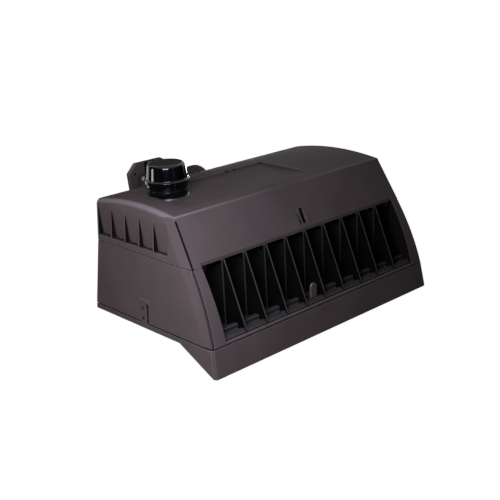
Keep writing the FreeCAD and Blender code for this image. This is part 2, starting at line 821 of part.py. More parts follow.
def main_housing():
    """Open middle housing: front opening, inner ledge, rear vents, gussets and hinge lugs."""
    body = profile_body("housing_form", [
        (brow_face("middle_foot"), "middle_foot", "brow_radius", 1),
        (brow_face("middle_top"), "middle_top"),
        ("cover_depth", "middle_top"),
        ("housing_depth", "middle_foot"),
    ], "full_width")
    trimmed = trim_sides(body)
    bevel_front(body, trimmed, brow_face, "facet_side", "facet_front")

    window = [
        ("-ledge_inner", "post_depth + ledge_end"),
        ("ledge_inner", "post_depth + ledge_end"),
        ("ledge_inner", "inner_back - ledge_end"),
        ("-ledge_inner", "inner_back - ledge_end"),
    ]
    pocket(body, sketch_on(body, "XY_Plane", [window], offset="ledge_top + wall"), "ledge_top")
    opening = [
        ("-opening_width/2", "sill_top"),
        ("opening_width/2", "sill_top"),
        ("opening_width/2", "upper_seam + wall"),
        ("-opening_width/2", "upper_seam + wall"),
    ]
    pocket(body, sketch_on(body, "XZ_Plane", [opening], offset="wall"), "post_depth + 2*wall")
    brim = "upper_seam + wall"
    cavity = profile_body("housing_cavity", [
        ("post_depth", "ledge_top"),
        ("post_depth", brim),
        (f"{back_face(brim)} - wall", brim),
        (f"{back_face('ledge_top')} - wall", "ledge_top"),
    ], "full_width")
    trim_sides(cavity, "wall")

    added, removed = [], []
    for index, (across, along) in enumerate(cover_bosses()):
        side = "-1" if across.startswith("-") else "1"
        wall_side = f"{side}*({half_width('upper_seam')} - wall/2)"
        low = wall_side if side == "-1" else f"{wall_side} - gusset_size"
        back = "cover_depth - wall/2 - gusset_size" if along == "boss_back" else "post_depth - wall"
        added.append(box(f"gusset_{index}", (low, back, "middle_top - gusset_thick"),
                         ("gusset_size", "gusset_size", "gusset_thick")))
        removed.append(rod(f"gusset_hole_{index}", (across, along, "middle_top - 2*gusset_thick"),
                           "large_screw + screw_fit", "3*gusset_thick"))
    for name, side in SIDES.items():
        low = "slot_floor - wall" if side > 0 else "-slot_floor - wall"
        added.append(box(f"slot_wall_{name}", (low, "tab_front - tab_swing - wall", "ledge_top - wall"),
                         ("2*wall", "tab_back - tab_front + tab_swing + 2*wall",
                          "tab_top - ledge_top + 3*wall")))
        low = "slot_floor" if side > 0 else "-slot_floor - full_width"
        removed.append(box(f"slot_{name}", (low, "tab_front - tab_swing", "0"),
                           ("full_width", "tab_back + clearance - tab_front + tab_swing",
                            "tab_top + clearance")))
        for index in range(int(SIZES["vent_count"])):
            low = f"{side}*{bay_middle(index)} - vent_width/2"
            removed.append(box(f"vent_{name}_{index}", (low, "inner_back - wall", "vent_foot"),
                               ("vent_width", "housing_depth", "vent_height")))
    for name, side in SIDES.items():
        for end in (-1, 1):
            middle = f"({side}*hinge_spacing/2 + {end}*(knuckle_length/2 + clearance + lug_thick/2))"
            low = f"{middle} - lug_thick/2"
            key = f"{name}_{'inner' if end == -side else 'outer'}"
            reach = "knuckle_radius + clearance"
            added.append(rod(f"lug_round_{key}", (low, "hinge_back", "hinge_height"), reach,
                             "lug_thick", "x"))
            added.append(box(f"lug_stem_{key}", (low, f"hinge_back - ({reach})", "hinge_height"),
                             ("lug_thick", f"2*({reach})", "lug_top - hinge_height")))
            root = f"({back_face('lug_top')} - wall/2)"
            added.append(box(f"lug_root_{key}", (low, root, "middle_foot + clearance"),
                             ("lug_thick", f"hinge_back - {root}", "lug_top - middle_foot - clearance")))
        removed.append(rod(f"lug_bore_{name}",
                           (f"{side}*hinge_spacing/2 - knuckle_length", "hinge_back", "hinge_height"),
                           "pin_radius + running_fit", "2*knuckle_length", "x"))
    for index, (across, up) in enumerate(saddle_bolts()):
        removed.append(rod(f"saddle_thread_{index}", (across, "inner_back - wall", up),
                           "saddle_bolt_radius + screw_fit", "housing_depth", "y"))
    for index, (across, along) in enumerate(sink_screws()):
        removed.append(rod(f"ledge_thread_{index}", (across, along, "middle_foot"),
                           "large_screw + screw_fit", "2*ledge_top"))
    for index, (across, along) in enumerate(sill_screws()):
        removed.append(rod(f"sill_thread_{index}", (across, along, "middle_foot"),
                           "small_screw + screw_fit", "2*sill_top"))
    grooves = groove_tools("housing_grooves", [
        ("lower_seam_front - wall", "lower_seam", "brow_radius", 1),
        ("upper_seam_front - wall", "upper_seam"),
        ("upper_seam_front + groove_depth", "upper_seam", "brow_radius", -1),
        ("lower_seam_front + groove_depth", "lower_seam"),
    ])
    whole = join("housing_whole", cut("housing_shell", body, cavity), *added)
    return node("main_housing", cut("main_housing", whole, grooves, *removed))


def saddle_bolts():
    """Where the knuckle's four bolts go through the rear wall."""
    return corners_of("saddle_bolt_across", ("saddle_bolt_foot", "saddle_bolt_top"))


def sink_screws():
    """Where the heat sink is screwed to the ledge."""
    across = "(ledge_inner + ledge_width/2 - small_head)"
    along = ["board_front", "(sink_front + sink_back)/2", "board_front + board_length"]
    return corners_of(across, along)


def sill_screws():
    """Where the vane rail is screwed to the sill."""
    along = "(post_depth - rail_rib_pitch)"
    return corners_of(bay_middle("0"), (along,)) + corners_of(bay_middle("sill_screw_step"), (along,))


def seal_frame(name, foot, thick, half, front, back, width, open_front=False):
    """A flat seal round a rectangle, or round three of its sides."""
    whole = box(name + "_outer", (f"-({half})", front, foot), (f"2*({half})", f"({back}) - ({front})", thick))
    hole_front = f"({front}) - ({width})" if open_front else f"({front}) + ({width})"
    hole = box(name + "_inner", (f"-({half} - {width})", hole_front, f"{foot} - {thick}"),
               (f"2*({half} - {width})", f"({back}) - ({width}) - ({hole_front})", f"3*({thick})"))
    return node(name, cut(name, whole, hole))


def cover_closing():
    """Seal and screws between the cover and the middle housing."""
    inset = "(2*seam_gap)"
    half = f"{half_width('upper_seam')} - {inset} - facet_front"
    seal_frame("cover_gasket", "middle_top", "seam_gap", half, "upper_seam_front + facet_side",
               f"cover_depth - {inset}", "wall", open_front=True)
    screws = []
    for index, (across, along) in enumerate(cover_bosses()):
        seat = "middle_top - gusset_thick"
        screws.append(screw(f"cover_screw_{index}", (across, along, "upper_seam + 3*large_head_thick"),
                            "large_screw", f"(upper_seam + 3*large_head_thick - ({seat}))",
                            "large_head", "large_head_thick", flip=True))
    node("cover_screws", group("cover_screws", screws))


# Front opening and light engine

def vane_places():
    """The upright vanes' and fins' places across the light."""
    count = int(SIZES["vane_count"])
    return [f"(vane_pitch*{index - (count - 1)/2})" for index in range(count)]


def front_vanes():
    """Upright vanes with a rear flange, deep at the sill and drawn to nothing under the cover."""
    top = "(cover_foot - clearance)"
    corners = [
        (f"{brow_face('rail_top')} + vane_inset", "rail_top"),
        ("post_depth - 2*vane_flange_thick", top),
        ("post_depth", top),
        ("post_depth", "rail_top"),
    ]
    vanes = []
    for index, across in enumerate(vane_places()):
        body = doc.addObject("PartDesign::Body", f"vane_{index}")
        pad(body, sketch_on(body, "YZ_Plane", [corners], offset=across), "vane_thick")
        flange = box(f"vane_flange_{index}",
                     (f"{across} - vane_flange_width/2", "post_depth - vane_flange_thick", "rail_top"),
                     ("vane_flange_width", "vane_flange_thick", f"{top} - rail_top"))
        vanes.append(join(f"vane_whole_{index}", body, flange))
    node("front_vanes", group("front_vanes", vanes))


def vane_rail():
    """Rail on the sill with a low and a high rib, its screws and the small upright tab."""
    width = "(opening_width - 2*clearance)"
    plate = box("rail_plate", (f"-{width}/2", "rail_front", "sill_top"),
                (width, "post_depth - rail_front", "rail_thick"))
    ribs = []
    for name in ("low", "high"):
        ribs.append(box(f"rail_{name}_rib", (f"-{width}/2", f"{name}_rib_front", "sill_top"),
                        (width, f"rail_{name}_depth", f"rail_thick + rail_{name}_rise")))
    slots = []
    for index, across in enumerate(vane_places()):
        slots.append(box(f"rail_slot_{index}", (f"{across} - vane_thick/2", "rail_front", "rail_top"),
                         ("vane_thick", "post_depth", "2*rail_high_rise")))
    holes = []
    for index, (across, along) in enumerate(sill_screws()):
        holes.append(rod(f"rail_hole_{index}", (across, along, "0"), "small_screw + screw_fit",
                         "2*sill_top"))
    node("vane_rail", cut("vane_rail", join("rail_whole", plate, *ribs), *slots, *holes))

    low = "(-tongue_offset - tongue_width/2)"
    stem = box("tongue_stem", (low, "tongue_front", "rail_top"),
               ("tongue_width", "tongue_thick", "tongue_height - tongue_width/2"))
    crown_place = ("-tongue_offset", "tongue_front", "rail_top + tongue_height - tongue_width/2")
    crown = rod("tongue_crown", crown_place, "tongue_width/2", "tongue_thick", "y")
    foot = box("tongue_foot", (low, "tongue_front", "rail_top"),
               ("tongue_width", "2*tongue_thick", "tongue_thick"))
    node("sill_tab", join("sill_tab", stem, crown, foot))

    screws = []
    for index, (across, along) in enumerate(sill_screws()):
        screws.append(screw(f"sill_screw_{index}", (across, along, "middle_foot"), "small_screw",
                            "(rail_top - middle_foot)", "small_head", "small_head_thick"))
    node("sill_screws", group("sill_screws", screws))


def heat_sink():
    """Finned plate on the housing's ledge, with its screws."""
    length = "(sink_back - sink_front)"
    base = box("sink_plate", ("-sink_half", "sink_front", "ledge_top"), ("2*sink_half", length, "sink_base"))
    fins = []
    for index, across in enumerate(vane_places()):
        fins.append(box(f"fin_{index}", (f"{across} - fin_thick/2", "sink_front", "ledge_top"),
                        ("fin_thick", length, "fin_top - ledge_top")))
    holes = []
    for index, (across, along) in enumerate(sink_screws()):
        holes.append(rod(f"sink_hole_{index}", (across, along, "0"), "large_screw + screw_fit",
                         "2*ledge_top"))
    for index, (across, along) in enumerate(standoff_places()):
        holes.append(rod(f"standoff_hole_{index}", (across, along, "sink_top - sink_base/2"),
                         "small_screw + screw_fit", "sink_base"))
    node("heat_sink", cut("heat_sink", join("sink_whole", base, *fins), *holes))
    screws = []
    for index, (across, along) in enumerate(sink_screws()):
        screws.append(screw(f"sink_screw_{index}", (across, along, "middle_foot"), "large_screw",
                            "(sink_top - middle_foot)", "large_head", "large_head_thick"))
    node("heat_sink_screws", group("heat_sink_screws", screws))


def light_engine():
    """LED boards under the heat sink, their chips, the clear optics over them and their screws."""
    boards, chips, optics, screws = [], [], [], []
    board_foot = "(ledge_top - board_thick)"
    chip_foot = f"({board_foot} - chip_thick)"
    middle = "(board_front + board_length/2)"
    for board in range(int(SIZES["board_count"])):
        across = f"(board_pitch*{board - (SIZES['board_count'] - 1)/2})"
        plate = box(f"board_plate_{board}", (f"{across} - board_width/2", "board_front", board_foot),
                    ("board_width", "board_length", "board_thick"))
        holes = []
        for end in (-1, 1):
            place = (across, f"{middle} + {end}*(board_length/2 - 2*small_head)")
            holes.append(rod(f"board_hole_{board}_{end}", (*place, "0"), "small_screw + screw_fit",
                             "2*ledge_top"))
            screws.append(rod(f"board_screw_{board}_{end}", (*place, f"{board_foot} - small_head_thick"),
                              "small_head", "small_head_thick"))
        boards.append(cut(f"board_{board}", plate, *holes))
        for column in range(int(SIZES["optic_columns"])):
            for line in range(int(SIZES["optic_rows"])):
                spot_x = f"({across} + optic_pitch_across*{column - (SIZES['optic_columns'] - 1)/2})"
                spot_y = f"({middle} + optic_pitch_along*{line - (SIZES['optic_rows'] - 1)/2})"
                key = f"{board}_{column}_{line}"
                chips.append(box(f"chip_{key}", (f"{spot_x} - chip_size/2", f"{spot_y} - chip_size/2",
                                                 chip_foot), ("chip_size", "chip_size", "chip_thick")))
                dome = doc.addObject("Part::Sphere", f"optic_{key}")
                bind(dome, "Radius", "optic_radius")
                dome.Angle1, dome.Angle2 = -90, 0
                for axis, text in zip("xyz", (spot_x, spot_y, chip_foot)):
                    bind(dome, f"Placement.Base.{axis}", text)
                optics.append(dome)
    node("led_boards", group("led_boards", boards))
    node("led_chips", group("led_chips", chips))
    node("led_optics", group("led_optics", optics))
    node("board_screws", group("board_screws", screws))


# Power tray

def standoff_places():
    """Where the tray's four posts stand on the heat sink."""
    return corners_of(bay_middle("0"), ("standoff_front", "standoff_back"))


def power_tray():
    """Tray on posts over the fins, with two drivers, a surge protector and a terminal block."""
    posts, screws, holes = [], [], []
    for index, (across, along) in enumerate(standoff_places()):
        bar = hexagon(f"post_bar_{index}", (across, along, "sink_top"), "standoff_radius",
                      "tray_foot - sink_top")
        thread = rod(f"post_thread_{index}", (across, along, "tray_foot - sink_base"),
                     "small_screw + screw_fit", "2*sink_base")
        stud = rod(f"post_stud_{index}", (across, along, "sink_top - sink_base/2"), "small_screw",
                   "sink_base")
        posts.append(join(f"post_{index}", cut(f"post_drilled_{index}", bar, thread), stud))
        holes.append(rod(f"tray_hole_{index}", (across, along, "tray_foot - sink_base"),
                         "small_screw + screw_fit", "2*sink_base"))
        screws.append(screw(f"tray_screw_{index}", (across, along, "tray_top - sink_base"),
                            "small_screw", "sink_base", "small_head", "small_head_thick"))
    plate = box("tray_plate", ("-tray_half", "tray_front", "tray_foot"),
                ("2*tray_half", "tray_back - tray_front", "tray_thick"))
    node("tray_standoffs", group("tray_standoffs", posts))
    node("tray_screws", group("tray_screws", screws))

    ear_screws = []
    for name, side in SIDES.items():
        middle = f"({side}*driver_across)"
        case = box(f"driver_case_{name}", (f"{middle} - driver_length/2", "driver_front", "tray_top"),
                   ("driver_length", "driver_width", "driver_height"))
        ears = box(f"driver_ears_{name}", (f"{middle} - driver_length/2 - driver_ear",
                                           "driver_front + driver_width/4", "tray_top"),
                   ("driver_length + 2*driver_ear", "driver_width/2", "driver_ear_thick"))
        ear_holes = []
        for end in (-1, 1):
            place = (f"({middle} + {end}*(driver_length/2 + driver_ear/2))", "driver_front + driver_width/2")
            key = f"{name}_{end}"
            ear_holes.append(rod(f"ear_hole_{key}", (*place, "tray_foot - sink_base"),
                                 "small_screw + screw_fit", "2*sink_base"))
            holes.append(rod(f"tray_ear_hole_{key}", (*place, "tray_foot - sink_base"),
                             "small_screw + screw_fit", "2*sink_base"))
            ear_screws.append(screw(f"ear_screw_{key}", (*place, "tray_foot"), "small_screw",
                                    "(tray_thick + driver_ear_thick)", "small_head", "small_head_thick"))
        whole = join(f"driver_whole_{name}", case, ears)
        node(f"led_driver_{name}", cut(f"led_driver_{name}", whole, *ear_holes))
    node("driver_screws", group("driver_screws", ear_screws))
    node("driver_tray", cut("driver_tray", plate, *holes))

    surge = box("surge_case", ("-surge_across - surge_length/2", "surge_front", "tray_top"),
                ("surge_length", "surge_width", "surge_height"))
    node("surge_protector", group("surge_protector", [surge]))
    length = "(terminal_pitch*terminal_count)"
    block = box("terminal_case", (f"terminal_across - {length}/2", "terminal_front", "tray_top"),
                (length, "terminal_depth", "terminal_height"))
    wells = []
    for index in range(int(SIZES["terminal_count"])):
        across = f"(terminal_across - {length}/2 + terminal_pitch*{index + 0.5})"
        wells.append(rod(f"terminal_well_{index}", (across, "terminal_front + terminal_depth/2",
                                                    "tray_top + terminal_height/2"),
                         "small_head", "terminal_height"))
    node("terminal_block", cut("terminal_block", block, *wells))


# Lens door

def door_frame():
    """Lower frame with its visor lip, window, side tabs and hinge knuckles."""
    body = profile_body("door_form", [
        ("0", "0"),
        ("lower_seam_front", "lower_top"),
        ("housing_depth", "lower_top"),
        ("housing_depth", "belly_height"),
        ("lip_length", "belly_height"),
    ], "full_width")
    tab = [
        ("tab_front", "belly_height + door_flange"),
        ("tab_back", "belly_height + door_flange"),
        ("tab_back", "tab_top"),
        ("tab_front", "tab_top"),
    ]
    pad(body, sketch_on(body, "YZ_Plane", [tab]), "full_width")
    trimmed = trim_sides(body)

    def lip_face(height):
        return f"(lower_seam_front*({height})/lower_top)"

    bevel_front(body, trimmed, lip_face, "lip_facet_side", "lip_facet_front")
    behind_tab = [
        ("tab_front - wall", "lower_top"),
        ("tab_back + wall", "lower_top"),
        ("tab_back + wall", "2*tab_top"),
        ("tab_front - wall", "2*tab_top"),
    ]
    pocket(body, sketch_on(body, "YZ_Plane", [behind_tab]), "2*(slot_floor + clearance)", both_ways=True)

    slope = "(belly_height/lip_length)"
    lean = "(lower_seam_front/lower_top)"
    skin = f"(door_wall*sqrt(1 + {slope}^2))"
    toe_up = f"(({slope}*door_wall + {skin})/(1 - {slope}*{lean}))"
    floor = "(belly_height + door_flange)"
    hollow = [
        (f"door_wall + {lean}*{toe_up}", toe_up),
        ("door_wall + lower_seam_front", "lower_top + wall"),
        ("housing_depth - door_rim", "lower_top + wall"),
        ("housing_depth - door_rim", floor),
        (f"({floor} - {skin})/{slope}", floor),
    ]
    pocket(body, sketch_on(body, "YZ_Plane", [hollow]), f"2*({half_width('lower_seam')} - door_rim)",
           both_ways=True)
    window = [
        ("-window_width/2", "window_front"),
        ("window_width/2", "window_front"),
        ("window_width/2", "window_back"),
        ("-window_width/2", "window_back"),
    ]
    pocket(body, sketch_on(body, "XY_Plane", [window]), "lower_top", flip=True)

    knuckles, holes = [], []
    for name, side in SIDES.items():
        low = f"{side}*hinge_spacing/2 - knuckle_length/2"
        knuckles.append(rod(f"knuckle_{name}", (low, "hinge_back", "hinge_height"), "knuckle_radius",
                            "knuckle_length", "x"))
        knuckles.append(box(f"knuckle_web_{name}", (low, "housing_depth - wall", "belly_height"),
                            ("knuckle_length", "hinge_setback + wall", "lower_top - belly_height")))
        holes.append(rod(f"knuckle_bore_{name}", (f"{low} - knuckle_length", "hinge_back", "hinge_height"),
                         "pin_radius + running_fit", "3*knuckle_length", "x"))
        stem = "-full_width" if side < 0 else "0"
        for kind in ("latch", "rivet"):
            holes.append(rod(f"{kind}_hole_{name}", (stem, f"{kind}_along", f"{kind}_height"),
                             "latch_stem + running_fit", "full_width", "x"))
    return node("door_frame", cut("door_frame", join("door_whole", body, *knuckles), *holes))


def door_glazing():
    """Glass and its seal on the window's ledge, the door's own seal, and the hinge pins."""
    half = "(window_width/2 + glass_ledge)"
    front, back = "(window_front - glass_ledge)", "(window_back + glass_ledge)"
    seal_frame("lens_gasket", "belly_height + door_flange", "lens_seal", half, front, back,
               "glass_ledge - lens_seal")
    pane = box("pane", (f"-{half}", front, "glass_foot"), (f"2*{half}", f"{back} - {front}", "glass_thick"))
    node("glass_lens", group("glass_lens", [pane]))
    seal_frame("door_gasket", "lower_top", "door_gap", f"{half_width('lower_seam')} - door_seal_inset",
               "lower_seam_front + facet_front", "housing_depth - door_seal_inset", "door_seal_width")
    pins = []
    for name, side in SIDES.items():
        length = "(knuckle_length + 2*clearance + 2*lug_thick)"
        low = f"{side}*hinge_spacing/2 - {length}/2"
        pins.append(join(f"pin_{name}",
                         rod(f"pin_bar_{name}", (low, "hinge_back", "hinge_height"), "pin_radius",
                             length, "x"),
                         rod(f"pin_cap_{name}", (f"{low} - pin_head", "hinge_back", "hinge_height"),
                             "knuckle_radius - pin_head/2", "pin_head", "x")))
    node("hinge_pins", group("hinge_pins", pins))


def tab_button(name, kind, side, slotted):
    """A round head on a short stem through a side tab, slotted where a driver turns it."""
    along, up = f"{kind}_along", f"{kind}_height"
    face = f"max({half_width(f'{up} - latch_radius')}; {half_width(f'{up} + latch_radius')})"
    start = "(slot_floor + clearance)"
    length = f"({face} - {start})"
    stem_low = start if side > 0 else f"-{start} - {length}"
    head_low = face if side > 0 else f"-{face} - latch_head"
    stem = rod(name + "_stem", (stem_low, along, up), "latch_stem", length, "x")
    head = rod(name + "_head", (head_low, along, up), "latch_radius", "latch_head", "x")
    whole = join(name + "_whole", stem, head)
    if not slotted:
        return whole
    low = f"{face} + latch_head/2" if side > 0 else f"-{face} - 3*latch_head/2"
    slot = box(name + "_slot", (low, f"{along} - latch_slot/2", f"{up} - 2*latch_radius"),
               ("latch_head", "latch_slot", "4*latch_radius"))
    return cut(name, whole, slot)


def door_latches():
    """A quarter-turn latch and a rivet on each side tab."""
    rivets = []
    for name, side in SIDES.items():
        node(f"latch_{name}", tab_button(f"latch_{name}", "latch", side, slotted=True))
        rivets.append(tab_button(f"rivet_{name}", "rivet", side, slotted=False))
    node("tab_rivets", group("tab_rivets", rivets))


# Photocell control

def cell(height):
    """A place on the control's axis."""
    return ("-cell_left", "cell_depth", height)


def ring(name, foot, thick, outer, inner):
    """A flat ring round the control's axis."""
    return cut(name, rod(name + "_disc", cell(foot), outer, thick),
               rod(name + "_hole", cell(f"{foot} - ({thick})"), inner, f"3*({thick})"))


def receptacle():
    """Turning socket through the cover's pad, its base ring and its nut."""
    node("receptacle_ring", ring("receptacle_ring", "pad_height", "base_ring_thick", "base_ring_radius",
                                 "spigot_radius + running_fit"))
    drum = rod("receptacle_drum", cell("cell_foot"), "receptacle_radius", "receptacle_height")
    spigot = rod("receptacle_spigot", cell("pad_height - spigot_length"), "spigot_radius",
                 "spigot_length + cell_foot - pad_height + receptacle_height/4")
    track = ring("receptacle_track", "cell_top - track_depth", "2*track_depth", "track_outer",
                 "track_inner")
    node("photocell_receptacle", cut("photocell_receptacle",
                                     join("receptacle_whole", drum, spigot), track))
    nut_foot = "(pad_height - cell_pad_thick - spin_gap - nut_ring_thick)"
    node("receptacle_nut", ring("receptacle_nut", nut_foot, "nut_ring_thick", "nut_ring_radius",
                                "spigot_radius + running_fit/2"))


def photocell_cap():
    """Twist-on cap with its flange, base, blades and seal."""
    flange_foot = "(cap_foot + cap_skirt)"
    neck_foot = f"({flange_foot} + cap_flange)"
    top = f"({neck_foot} + cap_head)"
    body = doc.addObject("PartDesign::Body", "cap_form")
    half = [
        ("0", "cap_foot"),
        ("cap_skirt_radius", "cap_foot"),
        ("cap_skirt_radius", flange_foot),
        ("cap_flange_radius", flange_foot),
        ("cap_flange_radius", f"{neck_foot} - cap_bevel"),
        ("cap_neck_radius", neck_foot),
        ("cap_top_radius", f"{top} - cap_round", "cap_round", -1),
        ("cap_top_radius - cap_round", top),
        ("0", top),
    ]
    turned = body.newObject("PartDesign::Revolution", "cap_turned")
    turned.Profile = sketch_on(body, "XZ_Plane", [half])
    turned.ReferenceAxis = (origin_part(body, "Z_Axis"), [""])
    turned.Angle = 360
    for axis, text in zip("xy", ("-cell_left", "cell_depth")):
        bind(body, f"Placement.Base.{axis}", text)
    inside = "(cap_top_radius - cap_wall)"
    hollow = rod("cap_hollow", cell("cap_foot - cap_wall"), inside,
                 f"{top} - cap_foot - cap_round/2")
    node("photocell_cap", cut("photocell_cap", body, hollow))

    base = rod("cap_base_disc", cell("cap_foot"), f"{inside} - running_fit", "cap_base_thick")
    blades, slots = [], []
    for index in range(3):
        turn = FreeCAD.Rotation(Z, 120*index)
        blade_foot = "(cap_foot - blade_length)"
        for kind, grow, pieces in (("blade", "0", blades), ("blade_slot", "screw_fit", slots)):
            piece = doc.addObject("Part::Box", f"{kind}_{index}")
            bind(piece, "Length", f"blade_thick + 2*{grow}")
            bind(piece, "Width", f"blade_width + 2*{grow}")
            bind(piece, "Height", f"blade_length + cap_base_thick + 2*{grow}")
            piece.Placement = FreeCAD.Placement(FreeCAD.Vector(), turn)
            out = (f"(blade_radius - blade_thick/2 - {grow})", f"(-blade_width/2 - {grow})")
            ahead = turn.multVec(X)
            bind(piece, "Placement.Base.x", f"-cell_left + {ahead.x}*{out[0]} - {ahead.y}*{out[1]}")
            bind(piece, "Placement.Base.y", f"cell_depth + {ahead.y}*{out[0]} + {ahead.x}*{out[1]}")
            bind(piece, "Placement.Base.z", f"{blade_foot} - {grow}")
            pieces.append(piece)
    node("cap_base", cut("cap_base", base, *slots))
    node("cap_blades", group("cap_blades", blades))
    node("cap_gasket", ring("cap_gasket", "cap_foot - cap_seal", "cap_seal",
                            "cap_skirt_radius - cap_seal", "track_outer + cap_wall"))


# Knuckle and wall side

def pivot(across):
    """A place on the tilt axis, as drawn on the light."""
    return (across, "pivot_back", "pivot_height")


def mount_bracket():
    """Knuckle saddle on the rear wall with two round ears, its seal and its bolts."""
    seat_foot = f"({back_face('saddle_foot')} + saddle_seal)"
    seat_top = f"({back_face('saddle_top')} + saddle_seal)"
    saddle = profile_body("saddle_form", [
        (seat_foot, "saddle_foot"),
        (seat_top, "saddle_top"),
        ("saddle_back", "saddle_top"),
        ("saddle_back", "saddle_foot"),
    ], "saddle_width")
    web = [
        ("saddle_back - saddle_thick/2", "saddle_foot + web_drop"),
        ("saddle_back - saddle_thick/2", "saddle_top"),
        ("pivot_back - ear_radius/2", "pivot_height + ear_radius/2"),
        ("pivot_back + ear_radius/2", "pivot_height - ear_radius/2"),
        ("saddle_back + saddle_thick", "saddle_foot + web_drop"),
    ]
    pieces, bores = [saddle], []
    for name, side in SIDES.items():
        low = "ear_inner" if side > 0 else "-ear_outer"
        disc = rod(f"ear_disc_{name}", pivot(low), "ear_radius", "ear_thick", "x")
        doc.recompute()
        rounded = doc.addObject("Part::Fillet", f"ear_{name}")
        rounded.Base = disc
        outer = number("ear_outer")*side
        rims = edges_where(disc, lambda point: abs(point.x - outer) < NEAR)
        rounded.Edges = [(int(rim[4:]), number("ear_round"), number("ear_round")) for rim in rims]
        pieces.append(rounded)
        rib = doc.addObject("PartDesign::Body", f"ear_web_{name}")
        middle = f"{side}*(ear_inner + web_thick/2)"
        pad(rib, sketch_on(rib, "YZ_Plane", [web], offset=middle), "web_thick")
        pieces.append(rib)
    bores.append(rod("ear_bore", pivot("-saddle_width"), "pivot_radius + running_fit", "2*saddle_width", "x"))
    for index, (across, up) in enumerate(saddle_bolts()):
        bores.append(rod(f"saddle_hole_{index}", (across, "inner_back", up),
                         "saddle_bolt_radius + screw_fit", "housing_depth", "y"))
    node("mount_bracket", cut("mount_bracket", join("bracket_whole", *pieces), *bores))

    sheet_form = profile_body("saddle_sheet", [
        (back_face("saddle_foot"), "saddle_foot"),
        (back_face("saddle_top"), "saddle_top"),
        (seat_top, "saddle_top"),
        (seat_foot, "saddle_foot"),
    ], "saddle_width")
    holes, bolts = [], []
    for index, (across, up) in enumerate(saddle_bolts()):
        holes.append(rod(f"sheet_hole_{index}", (across, "inner_back", up),
                         "saddle_bolt_radius + screw_fit", "housing_depth", "y"))
        bolts.append(screw(f"saddle_bolt_{index}", (across, "inner_back", up), "saddle_bolt_radius",
                           "(saddle_back - inner_back)", "large_head + small_screw",
                           "large_head_thick", "y"))
    node("bracket_gasket", cut("bracket_gasket", sheet_form, *holes))
    node("bracket_bolts", group("bracket_bolts", bolts))


def wall_plate():
    """Shield-shaped wall plate with its four bolt holes."""
    body = doc.addObject("PartDesign::Body", "wall_plate_form")
    right = [
        ("plate_foot_width/2 - plate_corner", "-plate_height/2"),
        ("plate_foot_width/2", "plate_corner - plate_height/2"),
        ("plate_top_width/2", "plate_height/2 - plate_corner"),
        ("plate_top_width/2 - plate_corner", "plate_height/2"),
    ]
    left = [(f"-({across})", up) for across, up in reversed(right)]
    holes = []
    for across, up in corners_of("plate_bolt_across/2", ("plate_bolt_up/2", "-plate_bolt_up/2")):
        holes.append((across, up, "plate_bolt_hole"))
    for across, up in foot_screws():
        holes.append((across, up, "foot_screw_radius + screw_fit"))
    pad(body, sketch_on(body, "XZ_Plane", [right + left], holes), "plate_thick", both_ways=False)
    node("wall_plate", body, on_light=False)


def foot_screws():
    """Where the arm is screwed to the wall plate."""
    return corners_of("foot_screw_across", ("foot_screw_up", "-foot_screw_up"))


def mount_arm():
    """Arm from the wall plate to the tilt axis, with its foot and screws."""
    barrel_place = ("-arm_width/2", "-pivot_reach", "pivot_rise")
    barrel = rod("arm_barrel", barrel_place, "arm_radius", "arm_width", "x")
    neck = profile_body("arm_neck_form", [
        ("-pivot_reach", "pivot_rise - arm_neck/2"),
        ("-pivot_reach", "pivot_rise + arm_neck/2"),
        ("-plate_thick", "arm_neck/2"),
        ("-plate_thick", "-arm_neck/2"),
    ], "arm_width")
    foot = box("arm_foot", ("-foot_width/2", "-plate_thick - foot_thick", "-foot_height/2"),
               ("foot_width", "foot_thick", "foot_height"))
    bores = [rod("arm_bore", ("-saddle_width", "-pivot_reach", "pivot_rise"),
                 "pivot_radius + running_fit", "2*saddle_width", "x")]
    screws = []
    for index, (across, up) in enumerate(foot_screws()):
        bores.append(rod(f"foot_hole_{index}", (across, "-2*plate_thick - 2*foot_thick", up),
                         "foot_screw_radius + screw_fit", "2*plate_thick + 2*foot_thick", "y"))
        screws.append(screw(f"foot_screw_{index}", (across, "0", up), "foot_screw_radius",
                            "(plate_thick + foot_thick)", "large_head - screw_fit", "large_head_thick",
                            "y", flip=True))
    node("mount_arm", cut("mount_arm", join("arm_whole", barrel, neck, foot), *bores), on_light=False)
    node("arm_screws", group("arm_screws", screws), on_light=False)


def pivot_hardware():
    """Tilt bolt, its nut and two washers."""
    def on_axis(across):
        return (across, "-pivot_reach", "pivot_rise")

    seat = "(ear_outer + spin_gap + washer_thick)"
    tail = f"({seat} + pivot_nut_thick + washer_thick)"
    shank = rod("bolt_shank", on_axis(f"-{seat}"), "pivot_radius", f"{seat} + {tail}", "x")
    head = hexagon("bolt_head", on_axis(f"-{seat} - pivot_head_thick"), "pivot_head_radius",
                   "pivot_head_thick", "x")
    node("pivot_bolt", join("pivot_bolt", shank, head), on_light=False)
    bar = hexagon("nut_bar", on_axis(seat), "pivot_head_radius", "pivot_nut_thick", "x")
    thread = rod("nut_thread", on_axis("0"), "pivot_radius + running_fit", "saddle_width", "x")
    node("pivot_nut", cut("pivot_nut", bar, thread), on_light=False)
    washers = []
    for name, low in (("left", f"-{seat}"), ("right", f"{seat} - washer_thick")):
        disc = rod(f"washer_disc_{name}", on_axis(low), "washer_radius", "washer_thick", "x")
        hole = rod(f"washer_hole_{name}", on_axis("-saddle_width"), "pivot_radius + running_fit",
                   "2*saddle_width", "x")
        washers.append(cut(f"washer_{name}", disc, hole))
    node("pivot_washers", group("pivot_washers", washers), on_light=False)


# Supply inlet and breather

